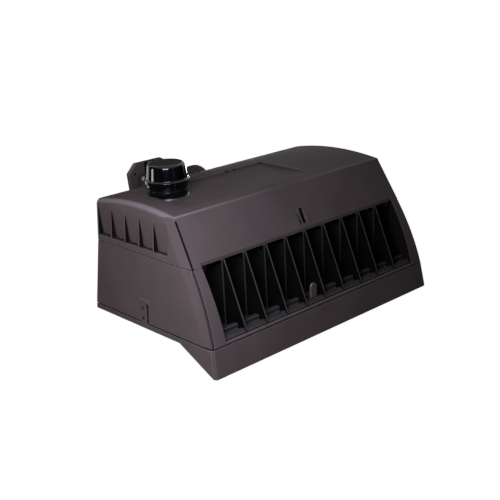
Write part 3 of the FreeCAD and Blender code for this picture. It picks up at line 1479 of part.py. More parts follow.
def rear_fittings():
    """Cable gland with its inner nut, and a breather plug, on the cover's rear wall."""
    def out(across, start):
        return (across, start, "gland_height")

    place, back = "gland_across", "cover_depth"
    stem = rod("gland_stem", out(place, f"{back} - wall - gland_nut"), "gland_radius",
               "wall + gland_nut + gland_flange", "y")
    flange = hexagon("gland_flange_bar", out(place, back), "gland_flange_radius", "gland_flange", "y")
    dome = taper("gland_dome_form", out(place, f"{back} + gland_flange"), "gland_dome_radius",
                 "gland_tip_radius", "gland_dome", "y")
    bore = rod("gland_bore_tool", out(place, "0"), "gland_bore", "2*cover_depth", "y")
    node("cable_gland", cut("cable_gland", join("gland_whole", stem, flange, dome), bore))
    bar = hexagon("gland_nut_bar", out(place, f"{back} - wall - gland_nut"), "gland_flange_radius",
                  "gland_nut", "y")
    thread = rod("gland_nut_thread", out(place, "0"), "gland_radius + running_fit", "2*cover_depth", "y")
    node("gland_nut", cut("gland_nut", bar, thread))
    plug = rod("breather_plug", out("-gland_across", f"{back} - wall"), "breather_stem", "2*wall", "y")
    cap = taper("breather_cap", out("-gland_across", back), "breather_radius", "breather_tip_radius",
                "breather_height", "y")
    node("vent_plug", join("vent_plug", plug, cap))


def check_and_write():
    """Stop on anything that failed, then write each sub-part to its own file."""
    doc.recompute()
    for thing in doc.Objects:
        if "Invalid" in thing.State or "Error" in thing.State:
            raise RuntimeError(f"{thing.Name} failed: {thing.State}")
    for piece in nodes:
        if piece.Shape.isNull() or not piece.Shape.isValid() or not piece.Shape.Solids:
            raise RuntimeError(f"{piece.Label} has no valid solid")
    os.makedirs("parts", exist_ok=True)
    for piece in nodes:
        piece.Shape.exportStep(f"parts/{piece.Label}.step")
        print(f"{piece.Label}: {len(piece.Shape.Solids)} solids, {piece.Shape.Volume/1000:.1f} cm3")


wall_plate()
mount_arm()
pivot_hardware()
mount_bracket()
main_housing()
top_cover()
cover_closing()
front_vanes()
vane_rail()
heat_sink()
light_engine()
power_tray()
rear_fittings()
receptacle()
photocell_cap()
door_frame()
door_glazing()
door_latches()
check_and_write()
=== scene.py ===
"""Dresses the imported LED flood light: finishes, fastener detail and a plain studio stage."""

import math

import bmesh
import bpy
from bpy.props import FloatProperty, FloatVectorProperty, IntProperty, PointerProperty
from mathutils import Matrix, Vector


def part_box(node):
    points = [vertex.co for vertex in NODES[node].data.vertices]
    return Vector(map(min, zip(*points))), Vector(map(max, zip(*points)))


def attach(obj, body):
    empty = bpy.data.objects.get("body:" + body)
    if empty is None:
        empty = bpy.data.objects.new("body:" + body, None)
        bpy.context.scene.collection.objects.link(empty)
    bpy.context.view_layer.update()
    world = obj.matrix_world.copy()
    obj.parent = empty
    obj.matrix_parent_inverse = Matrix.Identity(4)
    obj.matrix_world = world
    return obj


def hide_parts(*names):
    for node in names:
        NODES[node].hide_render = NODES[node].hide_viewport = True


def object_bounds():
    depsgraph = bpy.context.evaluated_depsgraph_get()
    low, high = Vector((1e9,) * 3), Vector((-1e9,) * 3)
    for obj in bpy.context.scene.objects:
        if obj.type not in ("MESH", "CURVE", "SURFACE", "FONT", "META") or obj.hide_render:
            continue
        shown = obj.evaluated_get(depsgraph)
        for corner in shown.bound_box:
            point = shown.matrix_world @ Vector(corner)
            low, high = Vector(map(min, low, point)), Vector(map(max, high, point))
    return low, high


bl_info = {
    "name": "Flood Light Dressing",
    "version": (1, 0, 0),
    "blender": (4, 5, 0),
    "location": "3D View > Sidebar > Flood Light",
    "description": "Finishes, fastener detail and a studio stage for the packed flood light",
    "category": "Object",
}

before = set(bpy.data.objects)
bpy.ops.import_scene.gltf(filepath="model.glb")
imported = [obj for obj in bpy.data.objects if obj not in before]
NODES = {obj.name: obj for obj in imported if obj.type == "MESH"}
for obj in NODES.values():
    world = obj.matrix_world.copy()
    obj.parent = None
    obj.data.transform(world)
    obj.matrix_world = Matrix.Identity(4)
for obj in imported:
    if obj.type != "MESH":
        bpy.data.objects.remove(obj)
CAD_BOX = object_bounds()
MM = 0.001

# Half the light's width at height nought, and how much each side leans in for a metre up
SIDE_HALF, SIDE_LEAN = 0.2474, 0.075

# Height of the seam between the top cover and the housing
SEAM = -0.0084

# How far back and how high the straight crease between the crown and the front runs
CREASE = (-0.3888, 0.0655)

# Places that get painted shade, where little light reaches: how dark, and the limits of the
# measures that mark them, in metres or as a share of a normal
PAINTED_SHADE_PLACES = (
    # Grooves that run down the front beside the corner facets, above and below the seam
    (1.0, {"inset": (0.0036, 0.0063), "ahead": (-1.1, -0.1), "height": (SEAM, 0.06)}),
    (0.7, {"inset": (0.0034, 0.0058), "ahead": (-1.1, -0.1), "height": (-0.122, SEAM)}),
    # Faces inside the shells, which look back towards the middle
    (1.0, {"outward": (-0.3, -0.1)}),
    # Hollow behind the front opening
    (1.0, {"aside": (0.0, 0.2435), "back": (-0.431, -0.25), "height": (-0.1, SEAM)}),
    # Rear walls of the side scoops
    (1.0, {"aside": (0.236, 0.26), "height": (0.001, 0.1), "ahead": (-1.1, -0.97)}),
    # Deep slot of the sight notch
    (1.0, {"aside": (0.0055, 0.0125), "height": (0.001, 0.1), "ahead": (-1.1, -0.9)}),
)

# Paler tones on the coats, partly edge wear and partly painted highlight and sheen: from where to
# where a measure brings each on, and its full share
EDGE_TURN = (0.998, 0.92)
RIM_SLANT, RIM_SHEEN = (0.15, 0.45), 0.6
CREASE_REACH, CREASE_HIGHLIGHT = 3.6*MM, 0.8
FLANGE_AHEAD, FLANGE_HIGHLIGHT = (-0.4, -0.8), 0.5
FRONT_EDGE_UP = (0.1, 0.4)

# Share of open air round a point where the painted shade in hollows is full, and where it ends
PAINTED_SHADE_AIR = (0.35, 0.7)

# Where along the noise a mottled finish reaches each of its two tones
MOTTLE_STOPS = (0.32, 0.68)

# Share of its scale that a pattern keeps along the way in which it is drawn out
DRAWN_OUT = 0.02

# Strength of all bumps, and how many rays feel for edges and for recesses
BUMP_STRENGTH, EDGE_RAYS, RECESS_RAYS = 0.15, 6, 8

# Settings of a node that mixes colours
COLOUR_MIX = {"data_type": "RGBA"}

# Turned pieces: points round each ring, and the angle from which an edge is sharp
RIM_POINTS = 48
SHARP_ANGLE = math.radians(32)

# Screws that show: CAD node, the axis that they lie along and the body that they ride on
SHOWN_SCREWS = (
    ("arm_screws", "Y", "mount"),
    ("bracket_bolts", "Y", "housing"),
    ("sill_screws", "Z", "housing"),
    ("board_screws", "Z", "housing"),
)

# Reading a CAD screw: how near points weld, the share of the head's radius that counts as its
# rim, and how near the end counts as the tip
WELD_REACH, HEAD_RIM, TIP_REACH = 0.01*MM, 0.97, 0.05*MM

# Height and radius of a screw's steps: its point as shares of the shank, its rounding as shares
# of the head, and the dimple under its socket as shares of the head's height and the socket
SCREW_POINT = (0.25, 0.75)
SCREW_ROUNDING = ((0.3, 1.0), (0.75, 0.9), (1.0, 0.68))
SOCKET_DIMPLE = (0.08, 0.3)

# Cable gland: thread and grip as shares of the flange, then its lead-in, bevels and the neck
# under the dome nut, and how its hexagon is turned
GLAND_THREAD, GLAND_GRIP = 0.7, 0.97
GLAND_LEAD, GLAND_BEVEL, GLAND_NECK = 1*MM, 0.6*MM, 0.2*MM
GLAND_TURN = math.pi/6

# Dome nut: where its ribs end and its shoulder is, as shares of its length from the tip, and the
# radii of shoulder and tip as shares of the grip
DOME_RIBS, DOME_SHOULDER = 0.4, 0.15
SHOULDER_REACH, TIP_RADIUS = 0.85, 0.72

# Rubber insert: its share of the dome's length, then how far under the tip its lip starts, ends
# and dips to the bore, and how far the lip is rounded
INSERT_SHARE = 0.6
LIP_START, LIP_END, LIP_DIP, LIP_ROUND = 1*MM, 0.4*MM, 0.8*MM, 0.5*MM

# Direction in which the gland points
REARWARD = Vector((0, 1, 0))

# Floor: half its width and how brightly it shows
FLOOR_HALF, FLOOR_GLOW = 40.0, 0.97

# Dark cards that keep glare off glossy faces: name, place, half width and glow
FLAGS = (
    ("back_flag", (1.0, 2.2, 0.8), 0.9, 0.075),
    ("front_flag", (-2.6, -3.6, 0.0), 3.2, 0.0),
    ("right_flag", (2.6, -3.6, 0.0), 3.2, 0.0),
    ("left_flag", (-4.0, 1.6, 0.0), 4.4, 0.0),
)
FLAG_TARGET = (0.0, -0.3, 0.05)

# Soft square lamps: name, place, target, width and tint; the stage's settings hold their powers
LAMPS = (
    ("key_lamp", (-0.54, -0.69, 0.27), (-0.2, -0.43, 0.0), 0.3, "#eef2ff"),
    ("side_lamp", (-1.0, 0.35, 0.05), (-0.25, -0.3, 0.0), 0.25, "#fff8f4"),
    ("rear_lamp", (1.1, 0.8, -0.35), (0.1, -0.25, -0.02), 0.6, "#ffffff"),
    ("low_lamp", (0.5, 0.1, -0.7), (0.0, -0.3, -0.12), 0.6, "#ffffff"),
)

# Width of the camera's sensor in millimetres
SENSOR_WIDTH = 36.0


# Small tools

def linear(hex_text):
    """An sRGB hex colour as linear red, green, blue and alpha."""
    shares = [int(hex_text[start:start + 2], 16)/255 for start in (1, 3, 5)]
    return [c/12.92 if c <= 0.04045 else ((c + 0.055)/1.055)**2.4 for c in shares] + [1.0]


def per_metre(size_mm):
    """A pattern scale from the real size of one of its features."""
    return 1000/size_mm


def facing(place, target):
    """The turn that makes a lamp or card at a place face its target."""
    return (Vector(place) - Vector(target)).to_track_quat("Z", "Y").to_euler()


def add(tree, kind, settings, *inputs, **named):
    """Add a node with its settings; its inputs take a value or another node's output."""
    node = tree.nodes.new(kind)
    for name, value in settings.items():
        setattr(node, name, value)
    sockets = list(zip(node.inputs, inputs))
    sockets += [(node.inputs[name.replace("_", " ")], value) for name, value in named.items()]
    for socket, value in sockets:
        if isinstance(value, bpy.types.NodeSocket):
            tree.links.new(value, socket)
        else:
            socket.default_value = value
    return node


def start_finish(name, roughness, metallic=0.0, **sockets):
    """A new material, with its constants on the shader's own sockets."""
    material = bpy.data.materials.new(name)
    material.use_nodes = True
    shader = material.node_tree.nodes["Principled BSDF"]
    shader.inputs["Roughness"].default_value = roughness
    shader.inputs["Metallic"].default_value = metallic
    for socket, value in sockets.items():
        shader.inputs[socket.replace("_", " ")].default_value = value
    return material, material.node_tree, shader


def coat_node(names, material):
    """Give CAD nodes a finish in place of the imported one."""
    for name in names:
        slots = NODES[name].data.materials
        slots.clear()
        slots.append(material)


def mottle(tree, shader, tones, place, size_mm):
    """Vary a colour softly between two tones in patches of a real size."""
    cloud = add(tree, "ShaderNodeTexNoise", {}, Vector=place, Scale=per_metre(size_mm),
                Detail=4.0)
    ramp = add(tree, "ShaderNodeValToRGB", {}, cloud.outputs["Fac"])
    for stop, spot, tone in zip(ramp.color_ramp.elements, MOTTLE_STOPS, tones):
        stop.position = spot
        stop.color = tone
    tree.links.new(ramp.outputs["Color"], shader.inputs["Base Color"])
    return ramp.outputs["Color"]


def roughen(tree, shader, place, size_mm, depth_mm, **normal):
    """Give a surface bumps of a real size and depth."""
    grain = add(tree, "ShaderNodeTexNoise", {}, Vector=place, Scale=per_metre(size_mm),
                Detail=2.0)
    bump = add(tree, "ShaderNodeBump", {}, Strength=BUMP_STRENGTH, Distance=depth_mm*MM,
               Height=grain.outputs["Fac"], **normal)
    tree.links.new(bump.outputs["Normal"], shader.inputs["Normal"])


def edge_share(tree, radius_mm, most):
    """How near a point is to a sharp edge, and the normal that rounds that edge."""
    soft = add(tree, "ShaderNodeBevel", {"samples": EDGE_RAYS}, Radius=radius_mm*MM)
    flat = add(tree, "ShaderNodeNewGeometry", {})
    turn = add(tree, "ShaderNodeVectorMath", {"operation": "DOT_PRODUCT"},
               soft.outputs["Normal"], flat.outputs["Normal"])
    share = add(tree, "ShaderNodeMapRange", {}, turn.outputs["Value"], *EDGE_TURN, 0.0, most)
    return share.outputs["Result"], soft.outputs["Normal"]


# Finishes

def bronze_powder_coat(tones):
    """Dark bronze polyester powder baked on die-cast aluminium.

    Edges are paler, partly thinned powder and partly painted highlight; rounded rims get a painted
    sheen and the crease a painted highlight, while grooves, seams and inner faces get painted
    shade.
    """
    material, tree, shader = start_finish("dark_bronze_powder_coat", roughness=0.5,
                                          Specular_IOR_Level=tones.coat_gloss)
    place = add(tree, "ShaderNodeTexCoord", {})
    measures = shell_measures(tree, place)
    coat = mottle(tree, shader, (tones.coat, tones.coat_light), place.outputs["Object"],
                  size_mm=70)
    edge, soft_normal = edge_share(tree, radius_mm=1.3, most=0.6)
    rim = add(tree, "ShaderNodeMapRange", {}, measures["slant"], *RIM_SLANT, 0.0, RIM_SHEEN)
    # The crease gets a painted highlight, strongest towards its ends
    ends = add(tree, "ShaderNodeMapRange", {}, measures["aside"], 0.0, SIDE_HALF, 0.0,
               CREASE_HIGHLIGHT)
    lightened = add(tree, "ShaderNodeMapRange", {}, measures["crease"], 0.0, CREASE_REACH,
                 ends.outputs["Result"], 0.0)
    # Paler coat tone: along sharp edges partly edge wear and partly painted highlight, a painted
    # sheen on rounded rims and a painted highlight along the crease
    for share in (edge, rim.outputs["Result"], lightened.outputs["Result"]):
        coat = add(tree, "ShaderNodeMix", COLOUR_MIX, Factor=share, A=coat,
                   B=tones.coat_edge_wear_and_sheen).outputs["Result"]
    # Painted shade: the grooves, seams, inner faces, hollow, scoop walls and notch slot in the
    # table are mixed towards the shade tone
    for share, limits in PAINTED_SHADE_PLACES:
        for name, (low, high) in limits.items():
            near = add(tree, "ShaderNodeMath", {"operation": "COMPARE"}, measures[name],
                       (low + high)/2, (high - low)/2).outputs["Value"]
            share = add(tree, "ShaderNodeMath", {"operation": "MULTIPLY"}, near,
                        share).outputs["Value"]
        coat = add(tree, "ShaderNodeMix", COLOUR_MIX, Factor=share, A=coat,
                   B=tones.recess).outputs["Result"]
    # Painted shade in recesses: the coat turns to the shade tone where ambient occlusion finds
    # walls near
    hollow = add(tree, "ShaderNodeAmbientOcclusion", {"samples": RECESS_RAYS},
                 Distance=tones.recess_reach)
    open_air = add(tree, "ShaderNodeMapRange", {}, hollow.outputs["AO"], *PAINTED_SHADE_AIR)
    coat = add(tree, "ShaderNodeMix", COLOUR_MIX, Factor=open_air.outputs["Result"],
               A=tones.recess, B=coat).outputs["Result"]
    tree.links.new(coat, shader.inputs["Base Color"])
    # Orange peel is about 1.5 mm; drawn at 5 mm because finer would not show
    roughen(tree, shader, place.outputs["Object"], size_mm=5, depth_mm=0.05, Normal=soft_normal)
    return material


def shell_measures(tree, place):
    """Measures that tell the parts of a shell apart: where a point is and which way it looks."""
    x, y, z = add(tree, "ShaderNodeSeparateXYZ", {}, place.outputs["Object"]).outputs
    across, ahead, up = add(tree, "ShaderNodeSeparateXYZ", {}, place.outputs["Normal"]).outputs
    aside = add(tree, "ShaderNodeMath", {"operation": "ABSOLUTE"}, x)
    outward = add(tree, "ShaderNodeMath", {"operation": "MULTIPLY"}, x, across)
    # Half the light's width at this height, less how far aside the point is
    half = add(tree, "ShaderNodeMath", {"operation": "MULTIPLY_ADD"}, z, -SIDE_LEAN, SIDE_HALF)
    inset = add(tree, "ShaderNodeMath", {"operation": "SUBTRACT"}, half.outputs["Value"],
                aside.outputs["Value"])
    # How far the point is from the crease, seen from the side
    level = add(tree, "ShaderNodeCombineXYZ", {}, 0.0, y, z).outputs["Vector"]
    crease = add(tree, "ShaderNodeVectorMath", {"operation": "DISTANCE"}, level, (0.0, *CREASE))
    # A rounded rim looks both sideways and up
    both = add(tree, "ShaderNodeMath", {"operation": "MULTIPLY"}, across, up)
    slant = add(tree, "ShaderNodeMath", {"operation": "ABSOLUTE"}, both.outputs["Value"])
    worked = {"aside": aside, "outward": outward, "inset": inset, "crease": crease,
              "slant": slant}
    return {"back": y, "height": z, "ahead": ahead,
            **{name: node.outputs["Value"] for name, node in worked.items()}}


def charcoal_powder_coat(tones):
    """Charcoal powder baked on the cast rail: matt and neutral, ribs paler from wear and painted
    highlight.
    """
    material, tree, shader = start_finish("charcoal_powder_coat", roughness=0.55,
                                          Specular_IOR_Level=0.02)
    place = add(tree, "ShaderNodeTexCoord", {}).outputs["Object"]
    coat = mottle(tree, shader, (tones.rail, linear("#2a2929")), place, size_mm=20)
    # Paler rib edges: partly wear and partly painted highlight
    edge, soft_normal = edge_share(tree, radius_mm=1.4, most=0.45)
    wear_and_highlight = add(tree, "ShaderNodeMix", COLOUR_MIX, Factor=edge, A=coat, B=tones.coat_edge_wear_and_sheen)
    tree.links.new(wear_and_highlight.outputs["Result"], shader.inputs["Base Color"])
    roughen(tree, shader, place, size_mm=5, depth_mm=0.05, Normal=soft_normal)
    return material


def black_powder_coat(tones):
    """Black powder baked on the steel vanes: dead matt, edges paler from wear and painted
    highlight.
    """
    material, tree, shader = start_finish("matt_black_powder_coat", roughness=0.6,
                                          Specular_IOR_Level=0.02)
    place = add(tree, "ShaderNodeTexCoord", {}).outputs["Object"]
    wear_and_highlight = mottle(tree, shader, (linear("#050505"), linear("#080808")), place, size_mm=30)
    edge, soft_normal = edge_share(tree, radius_mm=1.1, most=0.35)
    # A painted highlight falls on the front of the rear flanges, and the strongest on the sloping
    # front edges, which look up a little
    _, ahead, up = add(tree, "ShaderNodeSeparateXYZ", {}, soft_normal).outputs
    flange = add(tree, "ShaderNodeMapRange", {}, ahead, *FLANGE_AHEAD, 0.0, FLANGE_HIGHLIGHT)
    front = add(tree, "ShaderNodeMapRange", {}, up, *FRONT_EDGE_UP)
    for share in (edge, flange.outputs["Result"], front.outputs["Result"]):
        wear_and_highlight = add(tree, "ShaderNodeMix", COLOUR_MIX, Factor=share, A=wear_and_highlight,
                   B=tones.vane_edge_wear_and_highlight).outputs["Result"]
    tree.links.new(wear_and_highlight, shader.inputs["Base Color"])
    roughen(tree, shader, place, size_mm=5, depth_mm=0.05, Normal=soft_normal)
    return material


def black_anodise():
    """Extruded aluminium, black anodised: matt, with drawn lines along the fins."""
    material, tree, shader = start_finish("black_anodised_extrusion", roughness=0.6,
                                          Specular_IOR_Level=0.05)
    place = add(tree, "ShaderNodeTexCoord", {}).outputs["Object"]
    drawn = add(tree, "ShaderNodeMapping", {}, Vector=place, Scale=(1.0, DRAWN_OUT, 1.0))
    drawn = drawn.outputs["Vector"]
    mottle(tree, shader, (linear("#090909"), linear("#0e0e0e")), drawn, size_mm=3)
    roughen(tree, shader, drawn, size_mm=2, depth_mm=0.05)
    return material


def zinc_plate(tones):
    """Zinc-plated steel with a clear passivate: pale metal that drifts a little in tone."""
    material, tree, shader = start_finish("zinc_plated_steel", roughness=0.34, metallic=1.0)
    place = add(tree, "ShaderNodeTexCoord", {}).outputs["Object"]
    mottle(tree, shader, (tones.zinc, linear("#a9a49a")), place, size_mm=4)
    roughen(tree, shader, place, size_mm=1.5, depth_mm=0.02)
    return material


def blackened_steel(tones):
    """Steel blackened in hot oil: dark and dull, rubbed to grey on its edges."""
    material, tree, shader = start_finish("oil_blackened_steel", roughness=0.5,
                                          Specular_IOR_Level=0.1)
    place = add(tree, "ShaderNodeTexCoord", {}).outputs["Object"]
    skin = mottle(tree, shader, (tones.black, linear("#1d1b1c")), place, size_mm=4)
    edge, soft_normal = edge_share(tree, radius_mm=0.5, most=0.5)
    lightened = add(tree, "ShaderNodeMix", COLOUR_MIX, Factor=edge, A=skin, B=tones.coat_edge_wear_and_sheen)
    tree.links.new(lightened.outputs["Result"], shader.inputs["Base Color"])
    roughen(tree, shader, place, size_mm=1.5, depth_mm=0.02, Normal=soft_normal)
    return material


def rolled_sheet(tones):
    """Mill-finish aluminium sheet: fine rolling lines along its length."""
    material, tree, shader = start_finish("rolled_aluminium_sheet", roughness=0.4, metallic=1.0)
    place = add(tree, "ShaderNodeTexCoord", {}).outputs["Object"]
    rolled = add(tree, "ShaderNodeMapping", {}, Vector=place, Scale=(DRAWN_OUT, 1.0, 1.0))
    rolled = rolled.outputs["Vector"]
    mottle(tree, shader, (tones.sheet, linear("#c4c5c6")), rolled, size_mm=2)
    roughen(tree, shader, rolled, size_mm=1, depth_mm=0.01)
    return material


def silicone_seal(tones):
    """Moulded silicone rubber: soft black, dull, with a slight bloom."""
    material, tree, shader = start_finish("moulded_silicone_seal", roughness=0.75,
                                          Specular_IOR_Level=0.1)
    place = add(tree, "ShaderNodeTexCoord", {}).outputs["Object"]
    mottle(tree, shader, (tones.black, linear("#1c1c1e")), place, size_mm=12)
    return material


def white_solder_mask(tones):
    """White solder mask over copper tracks: satin, with the tracks just showing through."""
    material, tree, shader = start_finish("white_solder_mask_board", roughness=0.35)
    place = add(tree, "ShaderNodeTexCoord", {}).outputs["Object"]
    tracks = add(tree, "ShaderNodeTexBrick", {}, Vector=place, Scale=1.0, Mortar_Size=0.6*MM,
                 Brick_Width=32*MM, Row_Height=15*MM, Color1=tones.mask,
                 Color2=linear("#e9e7e0"), Mortar=linear("#cfccc2"))
    tree.links.new(tracks.outputs["Color"], shader.inputs["Base Color"])
    return material


def phosphor(tones):
    """Phosphor cast over the LED dies: warm yellow silicone with fine grains."""
    material, tree, shader = start_finish("cast_yellow_phosphor", roughness=0.5)
    place = add(tree, "ShaderNodeTexCoord", {}).outputs["Object"]
    mottle(tree, shader, (tones.phosphor, linear("#f2c84b")), place, size_mm=1.5)
    return material


def clear_acrylic():
    """Moulded clear acrylic optic: glossy, nearly colourless, with faint flow marks."""
    material, tree, shader = start_finish("moulded_clear_acrylic", roughness=0.06, IOR=1.49,
                                          Transmission_Weight=1.0)
    place = add(tree, "ShaderNodeTexCoord", {}).outputs["Object"]
    mottle(tree, shader, (linear("#f4f6f6"), linear("#ffffff")), place, size_mm=3)
    return material


def toughened_glass(tones):
    """Toughened float glass: clear with a slight green, a few faint water marks."""
    material, tree, shader = start_finish("toughened_float_glass", roughness=0.03, IOR=1.52,
                                          Transmission_Weight=1.0)
    place = add(tree, "ShaderNodeTexCoord", {}).outputs["Object"]
    mottle(tree, shader, (tones.glass, linear("#f6fbf9")), place, size_mm=90)
    return material


def driver_enamel(tones):
    """Pale grey enamel on a drawn steel case: smooth satin with slight waviness."""
    material, tree, shader = start_finish("pale_grey_enamel", roughness=0.4)
    place = add(tree, "ShaderNodeTexCoord", {}).outputs["Object"]
    mottle(tree, shader, (tones.enamel, linear("#c9cac8")), place, size_mm=35)
    roughen(tree, shader, place, size_mm=25, depth_mm=0.1)
    return material


def moulded_nylon(tones):
    """Moulded black nylon: satin with a fine spark-eroded grain."""
    material, tree, shader = start_finish("moulded_black_nylon", roughness=0.5,
                                          Specular_IOR_Level=0.2)
    place = add(tree, "ShaderNodeTexCoord", {}).outputs["Object"]
    mottle(tree, shader, (tones.black, linear("#1a1a1c")), place, size_mm=6)
    roughen(tree, shader, place, size_mm=1.2, depth_mm=0.03)
    return material


def gloss_polycarbonate(tones):
    """Moulded black polycarbonate: deep and glossy, with soft edges and slight mould flow."""
    material, tree, shader = start_finish("gloss_black_polycarbonate", roughness=0.08,
                                          Specular_IOR_Level=tones.cap_gloss)
    place = add(tree, "ShaderNodeTexCoord", {}).outputs["Object"]
    mottle(tree, shader, (tones.cap, linear("#060609")), place, size_mm=25)
    soft = add(tree, "ShaderNodeBevel", {"samples": EDGE_RAYS}, Radius=1.2*MM)
    roughen(tree, shader, place, size_mm=18, depth_mm=0.1, Normal=soft.outputs["Normal"])
    return material


def stainless_ring(tones):
    """Turned stainless steel: bright, and drifting a little in tone."""
    material, tree, shader = start_finish("turned_stainless_steel", roughness=0.28, metallic=1.0)
    place = add(tree, "ShaderNodeTexCoord", {}).outputs["Object"]
    mottle(tree, shader, (tones.zinc, linear("#d2d2d0")), place, size_mm=3)
    return material


def pressed_brass():
    """Pressed brass blade: warm metal, lightly tarnished."""
    material, tree, shader = start_finish("pressed_brass_blade", roughness=0.32, metallic=1.0)
    place = add(tree, "ShaderNodeTexCoord", {}).outputs["Object"]
    mottle(tree, shader, (linear("#b08a44"), linear("#d8b46a")), place, size_mm=3)
    return material


# Turned pieces

def round_rim(radius):
    """A round ring."""
    return lambda turn: radius


def hex_rim(flat, start=0.0):
    """A six-sided ring, measured from its middle to a flat."""
    return lambda turn: flat/math.cos((turn + start + math.pi/6) % (math.pi/3) - math.pi/6)


def ribbed_rim(radius, depth, count):
    """A ring with grip ribs."""
    return lambda turn: radius - depth*(1 - math.cos(count*turn))/2


def stack_rims(shell, rims, base, axis, hollow=False):
    """Join rings of points along an axis, and close the ends, or the last ring to the first."""
    turned = axis.to_track_quat("Z", "Y").to_matrix()
    rows = []
    for height, rim in rims:
        row = []
        for index in range(RIM_POINTS):
            angle = 2*math.pi*index/RIM_POINTS
            reach = rim(angle)
            spot = Vector((reach*math.cos(angle), reach*math.sin(angle), height))
            row.append(shell.verts.new(base + turned @ spot))
        rows.append(row)
    for low, high in zip(rows, rows[1:] + rows[:1] if hollow else rows[1:]):
        for index in range(RIM_POINTS):
            after = (index + 1) % RIM_POINTS
            shell.faces.new((low[index], low[after], high[after], high[index]))
    if not hollow:
        shell.faces.new(reversed(rows[0]))
        shell.faces.new(rows[-1])


def place_piece(name, shell, material, body, slot, *nodes):
    """Make a piece that rides on a body, takes a finish and stands for CAD nodes; its slot is not
    used.
    """
    bmesh.ops.recalc_face_normals(shell, faces=shell.faces)
    mesh = bpy.data.meshes.new(name)
    shell.to_mesh(mesh)
    shell.free()
    mesh.shade_smooth()
    mesh.set_sharp_from_angle(angle=SHARP_ANGLE)
    mesh.materials.append(material)
    piece = bpy.data.objects.new(name, mesh)
    bpy.context.scene.collection.objects.link(piece)
    if nodes:
        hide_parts(*nodes)
    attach(piece, body)


def screws_of(name, axis):
    """A CAD node's screws: seat, direction, head radius and height, shank radius and length."""
    copy = bmesh.new()
    copy.from_mesh(NODES[name].data)
    bmesh.ops.remove_doubles(copy, verts=copy.verts, dist=WELD_REACH)
    left, screws = set(copy.verts), []
    while left:
        # Gather the points of one screw along its edges
        reached = [left.pop()]
        for vert in reached:
            for edge in vert.link_edges:
                other = edge.other_vert(vert)
                if other in left:
                    left.remove(other)
                    reached.append(other)
        spots = [vert.co for vert in reached]
        corners = [[pick(spot[way] for spot in spots) for way in range(3)]
                   for pick in (min, max)]
        middle = (Vector(corners[0]) + Vector(corners[1]))/2
        points = []
        for spot in spots:
            height = (spot - middle).dot(axis)
            points.append((height, (spot - middle - height*axis).length))
        head = max(reach for height, reach in points)
        rim = [height for height, reach in points if reach > HEAD_RIM*head]
        low, high = min(points)[0], max(points)[0]
        # The head is at the end that its rim is nearer to
        up = 1 if high - max(rim) < min(rim) - low else -1
        seat, tip = (min(rim), low) if up > 0 else (max(rim), high)
        shank = max(reach for height, reach in points if abs(height - tip) < TIP_REACH)
        screws.append((middle + seat*axis, up*axis, head, max(rim) - min(rim), shank,
                       abs(seat - tip)))
    copy.free()
    return screws


def socket_screw(shell, detail, seat, way, head, tall, shank, length):
    """A button-head screw with a hexagon socket."""
    flat = head*detail.socket_share
    floor = tall*(1 - detail.socket_depth)
    point_tall, point_radius = SCREW_POINT
    dimple_deep, dimple_radius = SOCKET_DIMPLE
    stack_rims(shell, [
        (-length, round_rim(point_radius*shank)),
        (point_tall*shank - length, round_rim(shank)),
        (0.0, round_rim(shank)),
        (0.0, round_rim(head)),
        *((height*tall, round_rim(reach*head)) for height, reach in SCREW_ROUNDING),
        (tall, hex_rim(flat)),
        (floor, hex_rim(flat)),
        (floor - dimple_deep*tall, round_rim(dimple_radius*flat)),
    ], seat, way)


# Settings

